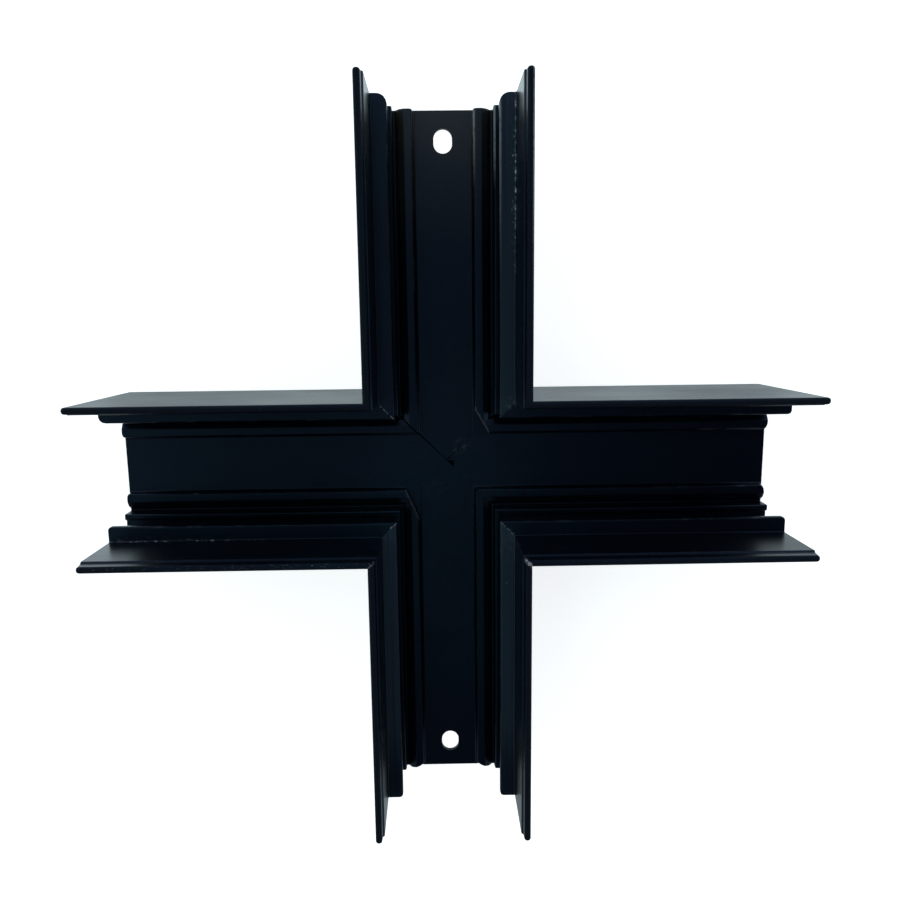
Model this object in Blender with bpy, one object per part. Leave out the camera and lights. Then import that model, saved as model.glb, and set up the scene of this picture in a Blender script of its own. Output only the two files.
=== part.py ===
"""Four-way cross joint for lighting track, modelled at its real size in metres.

Four lengths of one black aluminium extrusion meet at the centre on 45 degree mitres.
Flat corner keys lie in the rear slots of neighbouring arms, and grub screws lock them there.
The cross lies on its back: +X is the right arm, +Y the upper arm, and the channel opens to +Z.
"""

import math

import bmesh
import bpy
from mathutils import Matrix, Vector

# Reach of the arms, from the centre of the cross to their square-cut ends
UPRIGHT_REACH = 0.1014
SIDE_REACH = 0.0980

# Track section: outside, walls and web, with heights from the back plane
TRACK_WIDTH = 0.0435
TRACK_DEPTH = 0.0525
WEB_HEIGHT = 0.0070
WEB_THICKNESS = 0.0016
OUTER_WALL = 0.0018
EDGE_RADIUS = 0.0004

# Track section: front channel and its lip, which has a rebate on the inner side
MOUTH_WIDTH = 0.0388
LIP_HEIGHT = 0.0041
LIP_REBATE = 0.0005
LIP_RADIUS = 0.0009

# Track section: shelf that carries an insert, measured up from the web
SHELF_RISE = 0.0204
SHELF_THICKNESS = 0.0020
SHELF_GAP = 0.0298
SHELF_RADIUS = 0.0008

# Rounding of the shelves' free corners at the arm ends, seen from the front
SHELF_END_RADIUS = 0.0010
UPPER_SHELF_END_RADIUS = 0.0028

# Track section: ledge below the shelf, with a raised lip along its inner edge
LEDGE_GAP = 0.0286
LEDGE_RISE = 0.0046
LEDGE_LIP_HEIGHT = 0.0013
LEDGE_LIP_WIDTH = 0.0019
LEDGE_LIP_RADIUS = 0.0006
FOOT_WALL = 0.0016

# Track section: latch bead on the web, steep towards the centre and ramped outwards
BEAD_GAP = 0.0172
BEAD_WIDTH = 0.0051
BEAD_HEIGHT = 0.0027
BEAD_CREST = 0.0026
BEAD_SHOULDER_DROP = 0.0009
BEAD_SHOULDER_INSET = 0.0010
BEAD_RADIUS = 0.0007
ROOT_RADIUS = 0.0003

# Track section: lips that close the rear slot at the back plane
REAR_LIP = 0.0040
REAR_LIP_THICKNESS = 0.0015

# Fixing slots through the web of the upright arms
FIXING_SLOT_WIDTH = 0.0054
FIXING_SLOT_LENGTH = 0.0068
FIXING_SLOT_FROM_END = 0.0084

# Corner keys and their grub screws
KEY_WIDTH = 0.0094
KEY_REACH = 0.0520
KEY_CORNER_RADIUS = 0.0010
SCREW_DIAMETER = 0.0040
SCREW_FROM_KEY_EDGE = 0.0030
INNER_SCREW_FROM_ELBOW = 0.0110
OUTER_SCREW_FROM_KEY_END = 0.0080
SCREW_STANDS_PROUD = 0.0007
SCREW_CHAMFER = 0.0003
SOCKET_ACROSS_FLATS = 0.0020
SOCKET_DEPTH = 0.0018

# Clearances between pieces
MITRE_GAP = 0.0003
KEY_CLEARANCE = 0.0003
THREAD_CLEARANCE = 0.0002

# Fineness of round stretches
ARC_TOLERANCE = 0.00001
SCREW_SIDES = 24

# How far a cutter reaches past what it cuts
CUTTER_MARGIN = 0.005

# Planes and lines of the section that several pieces share
HALF_WIDTH = TRACK_WIDTH / 2
WEB_BACK = WEB_HEIGHT - WEB_THICKNESS
SLOT_HALF = LEDGE_GAP / 2
KEY_OUTER = SLOT_HALF - KEY_CLEARANCE
KEY_INNER = KEY_OUTER - KEY_WIDTH
KEY_BACK = REAR_LIP_THICKNESS + KEY_CLEARANCE
KEY_FRONT = WEB_BACK - KEY_CLEARANCE
SCREW_LINE = KEY_INNER + SCREW_FROM_KEY_EDGE
INNER_SCREW_REACH = KEY_OUTER + INNER_SCREW_FROM_ELBOW
OUTER_SCREW_REACH = KEY_REACH - OUTER_SCREW_FROM_KEY_END

QUARTER_TURN = math.pi / 2


def corner_arc(before, corner, after, radius):
    """Points of the arc that rounds one corner, limited by the shorter side beside it."""
    to_before = before - corner
    to_after = after - corner
    room = min(to_before.length, to_after.length) / 2
    to_before.normalize()
    to_after.normalize()
    opening = to_before.angle(to_after)
    setback = min(radius / math.tan(opening / 2), room)
    radius = setback * math.tan(opening / 2)
    centre = corner + (to_before + to_after).normalized() * radius / math.sin(opening / 2)
    spoke = corner + to_before * setback - centre
    end_spoke = corner + to_after * setback - centre
    turn = math.copysign(math.pi - opening, spoke.x * end_spoke.y - spoke.y * end_spoke.x)
    finest = 2 * math.acos(1 - min(ARC_TOLERANCE / radius, 1))
    steps = max(2, math.ceil(abs(turn) / finest))
    return [centre + Matrix.Rotation(turn * step / steps, 2) @ spoke for step in range(steps + 1)]


def rounded_outline(corners):
    """Closed outline from corners of (across, up, radius), each rounded by its own radius."""
    outline = []
    for index, (across, up, radius) in enumerate(corners):
        before = Vector(corners[index - 1][:2])
        after = Vector(corners[(index + 1) % len(corners)][:2])
        outline.extend(corner_arc(before, Vector((across, up)), after, radius))
    return outline


def circle_outline(centre, radius, sides):
    """Closed round outline about a centre."""
    turns = [2 * math.pi * side / sides for side in range(sides)]
    return [centre + radius * Vector((math.cos(turn), math.sin(turn))) for turn in turns]


def section_outline():
    """Outer outline of the track section, from the web's front round both walls to its back."""
    bead_inner = BEAD_GAP / 2
    bead_outer = bead_inner + BEAD_WIDTH
    bead_top = WEB_HEIGHT + BEAD_HEIGHT
    ledge = WEB_HEIGHT + LEDGE_RISE
    ledge_lip = ledge + LEDGE_LIP_HEIGHT
    slot_back = HALF_WIDTH - OUTER_WALL
    shelf = WEB_HEIGHT + SHELF_RISE
    shelf_inner = SHELF_GAP / 2
    mouth = MOUTH_WIDTH / 2
    rebate = TRACK_DEPTH - LIP_HEIGHT
    rear_lip_edge = SLOT_HALF - REAR_LIP
    half = [
        (bead_inner, WEB_HEIGHT, ROOT_RADIUS),
        (bead_inner, bead_top, BEAD_RADIUS),
        (bead_inner + BEAD_CREST, bead_top, BEAD_RADIUS),
        (bead_outer - BEAD_SHOULDER_INSET, bead_top - BEAD_SHOULDER_DROP, BEAD_RADIUS),
        (bead_outer, WEB_HEIGHT, ROOT_RADIUS),
        (SLOT_HALF, WEB_HEIGHT, ROOT_RADIUS),
        (SLOT_HALF, ledge_lip, LEDGE_LIP_RADIUS),
        (SLOT_HALF + LEDGE_LIP_WIDTH, ledge_lip, LEDGE_LIP_RADIUS),
        (SLOT_HALF + LEDGE_LIP_WIDTH, ledge, ROOT_RADIUS),
        (slot_back, ledge, EDGE_RADIUS),
        (slot_back, shelf - SHELF_THICKNESS, EDGE_RADIUS),
        (shelf_inner, shelf - SHELF_THICKNESS, ROOT_RADIUS),
        (shelf_inner, shelf, SHELF_RADIUS),
        (mouth, shelf, EDGE_RADIUS),
        (mouth, rebate, ROOT_RADIUS),
        (mouth + LIP_REBATE, rebate + LIP_REBATE, ROOT_RADIUS),
        (mouth + LIP_REBATE, TRACK_DEPTH, LIP_RADIUS),
        (HALF_WIDTH, TRACK_DEPTH, LIP_RADIUS),
        (HALF_WIDTH, 0, EDGE_RADIUS),
        (rear_lip_edge, 0, ROOT_RADIUS),
        (rear_lip_edge, REAR_LIP_THICKNESS, ROOT_RADIUS),
        (SLOT_HALF, REAR_LIP_THICKNESS, ROOT_RADIUS),
        (SLOT_HALF, WEB_BACK, EDGE_RADIUS),
    ]
    mirrored = [(-across, up, radius) for across, up, radius in reversed(half)]
    return rounded_outline(half + mirrored)


def chamber_outline(side):
    """Hollow of one box foot, between the outer wall and the wall of the rear slot."""
    inner = side * (SLOT_HALF + FOOT_WALL)
    outer = side * (HALF_WIDTH - OUTER_WALL)
    top = WEB_HEIGHT + LEDGE_RISE - FOOT_WALL
    return rounded_outline([
        (inner, REAR_LIP_THICKNESS, EDGE_RADIUS),
        (outer, REAR_LIP_THICKNESS, EDGE_RADIUS),
        (outer, top, EDGE_RADIUS),
        (inner, top, EDGE_RADIUS),
    ])


def weld(mesh):
    """Join the loose edges of a mesh and turn its faces outwards."""
    shape = bmesh.new()
    shape.from_mesh(mesh)
    bmesh.ops.remove_doubles(shape, verts=shape.verts, dist=1e-7)
    bmesh.ops.recalc_face_normals(shape, faces=shape.faces)
    shape.to_mesh(mesh)
    shape.free()


def flat_solid(name, outlines, thickness):
    """Prism from flat outlines, centred on its own XY plane; outlines inside the first are holes."""
    curve = bpy.data.curves.new(name, "CURVE")
    curve.dimensions = "2D"
    curve.fill_mode = "BOTH"
    curve.extrude = thickness / 2
    for outline in outlines:
        spline = curve.splines.new("POLY")
        spline.points.add(len(outline) - 1)
        for point, place in zip(spline.points, outline):
            point.co = (place.x, place.y, 0, 1)
        spline.use_cyclic_u = True
    drawn = bpy.data.objects.new(name, curve)
    bpy.context.scene.collection.objects.link(drawn)
    depsgraph = bpy.context.evaluated_depsgraph_get()
    mesh = bpy.data.meshes.new_from_object(drawn.evaluated_get(depsgraph))
    mesh.name = name
    mesh.materials.clear()
    bpy.data.objects.remove(drawn)
    bpy.data.curves.remove(curve)
    weld(mesh)
    return mesh


def round_off(mesh):
    """Shade round stretches smooth and keep real edges sharp."""
    mesh.shade_smooth()
    mesh.set_sharp_from_angle(angle=math.radians(40))


def coat(name, colour, roughness, metallic):
    """Plain finish of one kind of piece."""
    material = bpy.data.materials.new(name)
    material.use_nodes = True
    shader = material.node_tree.nodes["Principled BSDF"]
    shader.inputs["Base Color"].default_value = (*colour, 1)
    shader.inputs["Roughness"].default_value = roughness
    shader.inputs["Metallic"].default_value = metallic
    return material


def place(name, mesh, collection, parent, location=(0, 0, 0), turn=0):
    """New object under a parent, turned about its upright axis."""
    piece = bpy.data.objects.new(name, mesh)
    collection.objects.link(piece)
    piece.parent = parent
    piece.location = location
    piece.rotation_euler.z = turn
    return piece


def place_cutter(name, mesh, collection, arm, location=(0, 0, 0), turn=0):
    """Cutter that follows its arm and is drawn as wire."""
    cutter = place(name, mesh, collection, arm, location, turn)
    cutter.hide_render = True
    cutter.display_type = "WIRE"
    return cutter


def cut(piece, cutter, operation):
    """Shape a piece by its cutter."""
    modifier = piece.modifiers.new(cutter.name, "BOOLEAN")
    modifier.operation = operation
    modifier.solver = "EXACT"
    modifier.object = cutter


def track_mesh(name, reach):
    """Straight length of track along +Y, from the centre of the cross to the arm's end."""
    outlines = [section_outline(), chamber_outline(1), chamber_outline(-1)]
    mesh = flat_solid(name, outlines, reach)
    mesh.transform(Matrix.Translation((0, reach / 2, 0)) @ Matrix.Rotation(QUARTER_TURN, 4, "X"))
    round_off(mesh)
    return mesh


def wedge_mesh(reach):
    """Square block that keeps what lies outside the two mitres; its near corner is their point."""
    side = reach + TRACK_WIDTH
    point = Matrix.Translation((side / 2, side / 2, TRACK_DEPTH / 2))
    size = Matrix.Diagonal((side, side, TRACK_DEPTH + 2 * CUTTER_MARGIN, 1))
    shape = bmesh.new()
    bmesh.ops.create_cube(shape, size=1, matrix=point @ size)
    mesh = bpy.data.meshes.new("mitre_wedge")
    shape.to_mesh(mesh)
    shape.free()
    return mesh


def fixing_slot_mesh():
    """Round-ended cutter for one fixing slot, long side along the arm."""
    across = FIXING_SLOT_WIDTH / 2
    along = FIXING_SLOT_LENGTH / 2
    outline = rounded_outline([
        (-across, -along, across),
        (across, -along, across),
        (across, along, across),
        (-across, along, across),
    ])
    return flat_solid("fixing_slot", [outline], WEB_THICKNESS + 2 * CUTTER_MARGIN)


def shelf_end_mesh(reach, radius):
    """Pair of cutters that round the free corners of both shelves at the end of an arm."""
    edge = SHELF_GAP / 2
    clear = edge - CUTTER_MARGIN
    beyond = reach + CUTTER_MARGIN
    arc = corner_arc(Vector((edge, 0)), Vector((edge, reach)), Vector((HALF_WIDTH, reach)), radius)
    right = [Vector((clear, arc[0].y)), *arc, Vector((arc[-1].x, beyond)), Vector((clear, beyond))]
    left = [Vector((-point.x, point.y)) for point in reversed(right)]
    return flat_solid("shelf_end", [right, left], SHELF_THICKNESS + 2 * CUTTER_MARGIN)


def make_arms(pieces, cutters, parent, finish):
    """Four mitred arms; the upright pair has a fixing slot near each end."""
    upright = track_mesh("upright_track", UPRIGHT_REACH)
    level = track_mesh("side_track", SIDE_REACH)
    arms = {
        "upper_arm": (upright, UPRIGHT_REACH, UPPER_SHELF_END_RADIUS, True),
        "left_arm": (level, SIDE_REACH, SHELF_END_RADIUS, False),
        "lower_arm": (upright, UPRIGHT_REACH, SHELF_END_RADIUS, True),
        "right_arm": (level, SIDE_REACH, SHELF_END_RADIUS, False),
    }
    wedge = wedge_mesh(max(UPRIGHT_REACH, SIDE_REACH))
    slot = fixing_slot_mesh()
    point = (0, MITRE_GAP / math.sqrt(2), 0)
    slot_place = (0, UPRIGHT_REACH - FIXING_SLOT_FROM_END, WEB_HEIGHT - WEB_THICKNESS / 2)
    shelf_place = (0, 0, WEB_HEIGHT + SHELF_RISE - SHELF_THICKNESS / 2)
    for mesh in (upright, level):
        mesh.materials.append(finish)
    for quarter, (name, (mesh, reach, radius, slotted)) in enumerate(arms.items()):
        arm = place(name, mesh, pieces, parent, turn=quarter * QUARTER_TURN)
        wedge_cutter = place_cutter(name + "_mitre", wedge, cutters, arm, point, QUARTER_TURN / 2)
        cut(arm, wedge_cutter, "INTERSECT")
        shelf_end = shelf_end_mesh(reach, radius)
        cut(arm, place_cutter(name + "_shelf_end", shelf_end, cutters, arm, shelf_place), "DIFFERENCE")
        if slotted:
            slot_cutter = place_cutter(name + "_slot", slot, cutters, arm, slot_place)
            cut(arm, slot_cutter, "DIFFERENCE")


def screw_places():
    """Leg, name and place of each grub screw in the key of the upper right corner."""
    reaches = {"inner": INNER_SCREW_REACH, "outer": OUTER_SCREW_REACH}
    places = []
    for which, reach in reaches.items():
        places.append((0, which, Vector((reach, SCREW_LINE))))
        places.append((1, which, Vector((SCREW_LINE, reach))))
    return places


def key_mesh():
    """L-shaped plate with a tapped hole for each grub screw, lying in the upper right corner."""
    corners = [
        (KEY_INNER, KEY_INNER),
        (KEY_REACH, KEY_INNER),
        (KEY_REACH, KEY_OUTER),
        (KEY_OUTER, KEY_OUTER),
        (KEY_OUTER, KEY_REACH),
        (KEY_INNER, KEY_REACH),
    ]
    plate = rounded_outline([(*corner, KEY_CORNER_RADIUS) for corner in corners])
    hole = SCREW_DIAMETER / 2 + THREAD_CLEARANCE
    holes = [circle_outline(centre, hole, SCREW_SIDES) for leg, which, centre in screw_places()]
    mesh = flat_solid("corner_key", [plate, *holes], KEY_FRONT - KEY_BACK)
    mesh.transform(Matrix.Translation((0, 0, (KEY_FRONT + KEY_BACK) / 2)))
    round_off(mesh)
    return mesh


def screw_mesh():
    """Grub screw on its own axis, its point at the origin and its hexagon socket facing -Z."""
    length = KEY_FRONT - KEY_BACK + SCREW_STANDS_PROUD
    radius = SCREW_DIAMETER / 2
    shape = bmesh.new()
    bmesh.ops.create_cone(
        shape,
        cap_ends=True,
        segments=SCREW_SIDES,
        radius1=radius,
        radius2=radius,
        depth=length,
        matrix=Matrix.Translation((0, 0, -length / 2)),
    )
    rims = [edge for edge in shape.edges if abs(edge.verts[0].co.z - edge.verts[1].co.z) < length / 2]
    bmesh.ops.bevel(shape, geom=rims, offset=SCREW_CHAMFER, segments=1, affect="EDGES")
    shape.faces.ensure_lookup_table()
    head = min(shape.faces, key=lambda face: face.calc_center_median().z)
    bmesh.ops.inset_individual(shape, faces=[head], thickness=SCREW_CHAMFER)
    for vertex in head.verts:
        turn = math.atan2(vertex.co.y, vertex.co.x)
        from_flat = (turn % (math.pi / 3)) - math.pi / 6
        reach = SOCKET_ACROSS_FLATS / 2 / math.cos(from_flat)
        vertex.co.xy = reach * math.cos(turn), reach * math.sin(turn)
    socket = bmesh.ops.extrude_discrete_faces(shape, faces=[head])["faces"][0]
    bmesh.ops.translate(shape, verts=socket.verts, vec=(0, 0, SOCKET_DEPTH))
    bmesh.ops.recalc_face_normals(shape, faces=shape.faces)
    mesh = bpy.data.meshes.new("grub_screw")
    shape.to_mesh(mesh)
    shape.free()
    round_off(mesh)
    return mesh


def make_keys(pieces, parent, key_finish, screw_finish):
    """Four corner keys, each with two grub screws in either leg."""
    key = key_mesh()
    key.materials.append(key_finish)
    screw = screw_mesh()
    screw.materials.append(screw_finish)
    corners = ["upper_right", "upper_left", "lower_left", "lower_right"]
    arms = ["right", "upper", "left", "lower"]
    for quarter, corner in enumerate(corners):
        turn = quarter * QUARTER_TURN
        place("corner_key_" + corner, key, pieces, parent, turn=turn)
        for leg, which, centre in screw_places():
            spot = Matrix.Rotation(turn, 2) @ centre
            arm = arms[(quarter + leg) % len(arms)]
            name = f"grub_screw_{corner}_in_{arm}_arm_{which}"
            place(name, screw, pieces, parent, (spot.x, spot.y, KEY_FRONT), turn)


def new_collection(name):
    """Collection in the scene."""
    collection = bpy.data.collections.new(name)
    bpy.context.scene.collection.children.link(collection)
    return collection


def main():
    """Clear the scene and model the cross."""
    for leftover in list(bpy.data.objects):
        bpy.data.objects.remove(leftover)
    pieces = new_collection("track_cross")
    cutters = new_collection("track_cross_cutters")
    centre = bpy.data.objects.new("cross_centre", None)
    pieces.objects.link(centre)
    black_coat = coat("black_coat", (0.012, 0.015, 0.020), 0.40, 0.0)
    zinc_plate = coat("zinc_plate", (0.55, 0.56, 0.58), 0.38, 1.0)
    black_oxide = coat("black_oxide", (0.035, 0.035, 0.038), 0.45, 1.0)
    make_arms(pieces, cutters, centre, black_coat)
    make_keys(pieces, centre, zinc_plate, black_oxide)


main()
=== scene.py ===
"""Looks of a lighting track cross joint: coated arms, plated corner keys and threaded grub screws.

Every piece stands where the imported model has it, in metres, with the cross lying on its back.
"""

import math

import bmesh
import bpy
from bpy.props import FloatProperty, FloatVectorProperty, IntProperty, PointerProperty
from mathutils import Euler, Matrix, Vector


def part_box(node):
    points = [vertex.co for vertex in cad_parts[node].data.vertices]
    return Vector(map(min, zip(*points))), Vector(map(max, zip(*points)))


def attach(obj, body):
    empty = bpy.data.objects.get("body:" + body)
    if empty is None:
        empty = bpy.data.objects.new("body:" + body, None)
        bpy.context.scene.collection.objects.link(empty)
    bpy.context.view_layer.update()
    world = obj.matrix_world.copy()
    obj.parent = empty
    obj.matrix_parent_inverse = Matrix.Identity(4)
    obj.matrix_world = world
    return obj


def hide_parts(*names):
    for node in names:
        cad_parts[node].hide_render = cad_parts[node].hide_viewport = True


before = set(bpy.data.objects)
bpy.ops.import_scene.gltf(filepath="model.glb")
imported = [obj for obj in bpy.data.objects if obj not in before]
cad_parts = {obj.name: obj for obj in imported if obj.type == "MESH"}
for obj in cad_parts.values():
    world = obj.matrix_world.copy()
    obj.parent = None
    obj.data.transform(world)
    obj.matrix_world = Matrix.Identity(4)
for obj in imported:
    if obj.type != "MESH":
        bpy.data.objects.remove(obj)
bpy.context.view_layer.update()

bl_info = {
    "name": "Track Cross Joint",
    "version": (1, 0, 0),
    "blender": (4, 5, 0),
    "location": "3D View > Sidebar > Track Cross",
    "description": "Dresses a four-way lighting track joint and sets it in a white studio",
    "category": "Object",
}

BODY = "root"
COAT_SLOT = "black_coat"
PLATE_SLOT = "zinc_plate"
OXIDE_SLOT = "black_oxide"

# Arms in order of their quarter turns about the centre, counter-clockwise from the upper one
ARMS = ("upper_arm", "left_arm", "lower_arm", "right_arm")
# Corner on the right of each arm, as seen along it from the centre
CORNERS = ("upper_right", "upper_left", "lower_left", "lower_right")
OPEN_CORNER = "upper_left"
PITTED_ARM = "right_arm"
UPRIGHT_ARMS = ("upper_arm", "lower_arm")
KEYS = [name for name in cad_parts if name.startswith("corner_key")]
SCREWS = [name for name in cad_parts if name.startswith("grub_screw")]

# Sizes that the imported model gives
UPPER_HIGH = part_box("upper_arm")[1]
RIGHT_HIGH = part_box("right_arm")[1]
HALF_WIDTH = UPPER_HIGH.x
TRACK_DEPTH = UPPER_HIGH.z
REACH = {arm: UPPER_HIGH.y if arm in UPRIGHT_ARMS else RIGHT_HIGH.x for arm in ARMS}

MILLIMETRE = 0.001
QUARTER_TURN = math.pi / 2
# Largest angle between two points of an arc
ARC_STEP = math.radians(15)
# Rings of points along a rounded rim, at both ends of a prism
ROUNDING_STEPS = 3
LAST_RING = 2 * ROUNDING_STEPS + 1
SMOOTH_ANGLE = math.radians(40)
WELD_DISTANCE = 1e-6

# How cutters and files work: a bead's cutter starts before its corner by a share of its legs and
# widens above the crest, a file takes a share of a round end, and cutters stay off the web's face
CUT_MARGIN = 0.1
CUT_FLARE = 1.3
FILED_SLOPE = 0.5
FILED_RISE = 0.7 * MILLIMETRE
CUTTER_CLEARANCE = 0.02 * MILLIMETRE
PIT_POINT = 0.05
SLOT_SIDES = 48

# Points round a grub screw and along it, how steep its flanks are and how each turns from the last
SCREW_SIDES = 32
SCREW_RINGS = 60
FLANK_SLOPE = 1.25
CREST_SHARE = 0.9
SCREW_TURN = 2.4
# Turns added to a thread's phase, so that it stays above zero
SPARE_TURNS = 100

# Settings that the trees of the arms and the screws take under the same names
ARM_SETTINGS = (
    "Mitre Rounding",
    "Cut Chamfer",
    "Pit Width",
    "Pit Depth",
    "Bead Height",
    "Web Height",
    "Web Thickness",
    "Slot Width",
    "Slot Length",
    "Slot Chamfer",
)
SCREW_SETTINGS = (
    "Thread Pitch",
    "Thread Depth",
    "Screw Chamfer",
    "Socket Across Flats",
    "Socket Depth",
)

# Where the coat and its painted light and shade change along the arms, from start to full, in metres from
# the centre
END_RUN = (0.045, 0.085)
PAINTED_GLOW_RUN = (0.058, 0.098)
FOOT_RUN = (-0.060, -0.088)
SHELF_FOOT_RUN = (-0.074, -0.098)
SIDE_RUN = (0.005, 0.030)
LIP_RUN = (0.084, 0.070)

# Scuffs in the coat: centre, radius and strength
SCUFFS = (
    ((0.0045, 0.0042, 0.0070), 0.0034, 0.60),
    ((-0.0038, -0.0088, 0.0070), 0.0046, 0.12),
    ((0.0178, 0.0193, 0.0274), 0.0022, 0.90),
    ((0.0170, -0.0230, 0.0274), 0.0050, 0.45),
)
# Share of a soft spot's radius that is at full strength
SPOT_CORE = 0.55
# Depth of the finest relief on each finish
COAT_RELIEF = 0.006 * MILLIMETRE
PLATE_RELIEF = 0.005 * MILLIMETRE
OXIDE_RELIEF = 0.004 * MILLIMETRE

# Light from the room by direction: a pale ring, dimmer toward the foot, and overhead a strip along
# the upright with a glow far to the left
RING_LIGHT = (1.05, 1.20, 1.30)
RING_FOOT_LIGHT = (0.40, 0.44, 0.48)
STRIP_LIGHT = (0.60, 0.72, 0.76)
BESIDE_STRIP_LIGHT = (0.02, 0.03, 0.05)
LEFT_GLOW_LIGHT = (0.70, 1.05, 0.95)
OVERHEAD_FOOT_LIGHT = (0.02, 0.03, 0.04)
WHITE = (1, 1, 1)

SENSOR_WIDTH = 36
NEAR_CLIP = 0.01

# Marks on a section's corners: what wear or dust gathers there
PLAIN = ""
WORN = "worn"
DUSTY = "dusty"
NOSE = "nose"


def size(name, description, default):
    """Property for a length."""
    return FloatProperty(
        name=name, description=description, default=default, min=0, unit="LENGTH", precision=5
    )


def share(name, description, default):
    """Property for a value from 0 to 1."""
    return FloatProperty(
        name=name, description=description, default=default, min=0, max=1, subtype="FACTOR"
    )


def legs(name, description, default):
    """Property for two lengths, along an upright and a side arm."""
    return FloatVectorProperty(
        name=name, description=description, default=default, size=2, min=0, unit="LENGTH", precision=5
    )


def tint(name, description, default):
    """Property for a colour."""
    return FloatVectorProperty(
        name=name, description=description, default=default, min=0, max=1, subtype="COLOR"
    )


class TrackSection(bpy.types.PropertyGroup):
    """Section of the track, with heights from the back plane."""

    web_height: size("Web height", "Front of the web", 0.0070)
    web_thickness: size("Web thickness", "Wall between channel and rear slot", 0.0016)
    outer_wall: size("Outer wall", "Wall behind the strip slot", 0.0018)
    edge_radius: size("Edge radius", "Rounding of plain corners", 0.0004)
    root_radius: size("Root radius", "Rounding where walls meet", 0.0003)
    mouth_width: size("Mouth width", "Clear width of the front channel", 0.0388)
    lip_height: size("Lip height", "Height of the rebated lip", 0.0041)
    lip_rebate: size("Lip rebate", "Step between wall and lip", 0.0005)
    lip_radius: size("Lip radius", "Rounding of the lip's nose", 0.00085)
    shelf_rise: size("Shelf rise", "Top of the shelf above the web", 0.0204)
    shelf_thickness: size("Shelf thickness", "Thickness of the shelf", 0.0020)
    shelf_gap: size("Shelf gap", "Clear width between the shelves", 0.0298)
    shelf_radius: size("Shelf radius", "Rounding of the shelf's edge", 0.0008)
    shelf_end_radius: size("Shelf end radius", "Rounding of shelf corners at an arm's end", 0.0010)
    upper_shelf_end_radius: size("Upper shelf end radius", "The same on the upper arm", 0.0028)
    left_shelf_end_radius: size("Left shelf end radius", "The same on the left arm's upper shelf", 0.0020)
    ledge_gap: size("Ledge gap", "Width of the rear slot and between the ledges", 0.0286)
    ledge_rise: size("Ledge rise", "Ledge above the web", 0.0046)
    ledge_lip_height: size("Ledge lip height", "Lip above the ledge", 0.0013)
    ledge_lip_width: size("Ledge lip width", "Width of that lip", 0.0019)
    ledge_lip_radius: size("Ledge lip radius", "Rounding of that lip", 0.0006)
    foot_wall: size("Foot wall", "Wall of the hollow foot", 0.0016)
    bead_gap: size("Bead gap", "Clear width between the beads", 0.0172)
    bead_width: size("Bead width", "Width of a bead at its foot", 0.0051)
    bead_height: size("Bead height", "Height of a bead", 0.0027)
    bead_crest: size("Bead crest", "Flat top of a bead", 0.0026)
    bead_shoulder_drop: size("Bead shoulder drop", "Fall from crest to shoulder", 0.0009)
    bead_shoulder_inset: size("Bead shoulder inset", "Shoulder from the outer foot", 0.0010)
    bead_radius: size("Bead radius", "Rounding of the bead", 0.0007)
    bead_root_radius: size("Bead root radius", "Rounding at the bead's inner foot", 0.0007)
    upper_bead_end: size("Upper bead end", "Filing of the upper arm's bead ends", 0.0008)
    left_bead_end: size("Left bead end", "Filing of the left arm's bead ends", 0.0014)
    lower_bead_end: size("Lower bead end", "Filing of the lower arm's bead ends", 0.0055)
    right_bead_end: size("Right bead end", "Filing of the right arm's bead ends", 0.0026)
    lower_ledge_end: size("Lower ledge end", "Filing of the lower arm's ledge lips", 0.0013)
    rear_lip: size("Rear lip", "Lip over the rear slot", 0.0040)
    rear_lip_thickness: size("Rear lip thickness", "Thickness of that lip", 0.0015)
    slot_width: size("Slot width", "Fixing slot across the arm", 0.0054)
    slot_length: size("Slot length", "Fixing slot along the arm", 0.0068)
    slot_from_end: size("Slot from end", "Centre of the slot from the arm's end", 0.0084)
    slot_chamfer: size("Slot chamfer", "Broken edge of the slot", 0.00005)
    end_rounding: size("End rounding", "Broken edge of the cut ends", 0.00018)
    worn_end_share: share("Worn end share", "Share of a worn edge's radius that its ends are filed by", 0.45)
    nose_end_share: share("Nose end share", "The same at the lips' noses", 0.9)
    mitre_rounding: size("Mitre rounding", "Broken edge of the mitres", 0.00002)
    open_gap: size("Open gap", "Half the gap of the upper left mitre, open across the web", 0.00028)
    pit_width: size("Pit width", "Pit left by the right arm's broken point", 0.0021)
    pit_depth: size("Pit depth", "Depth of that pit", 0.0014)
    cut_chamfer: size("Cut chamfer", "Broken edge of a cut bead", 0.00025)
    upper_right_cut: legs("Upper right cut", "Bead cut away at that mitre", (0.0072, 0.0041))
    upper_left_cut: legs("Upper left cut", "Bead cut away at that mitre", (0.0006, 0.0006))
    lower_left_cut: legs("Lower left cut", "Bead cut away at that mitre", (0.0090, 0.0040))
    lower_right_cut: legs("Lower right cut", "Bead cut away at that mitre", (0.0012, 0.0012))


class JoinerySizes(bpy.types.PropertyGroup):
    """Corner keys and grub screws."""

    key_width: size("Key width", "Width of either leg", 0.0094)
    key_corner_radius: size("Key corner radius", "Rounding of the key's corners", 0.0010)
    key_rounding: size("Key rounding", "Broken edges of the key", 0.00025)
    thread_clearance: size("Thread clearance", "Hole beyond the screw", 0.0002)
    thread_pitch: size("Thread pitch", "Rise of the thread in a turn", 0.0007)
    thread_depth: size("Thread depth", "Depth of the thread", 0.00040)
    screw_chamfer: size("Screw chamfer", "Chamfer at either end", 0.0003)
    socket_across_flats: size("Socket across flats", "Hexagon socket", 0.0020)
    socket_depth: size("Socket depth", "Depth of the socket", 0.0018)
    hole_sides: IntProperty(
        name="Hole sides", description="Sides of a round hole", default=48, min=12, max=128
    )


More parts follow.
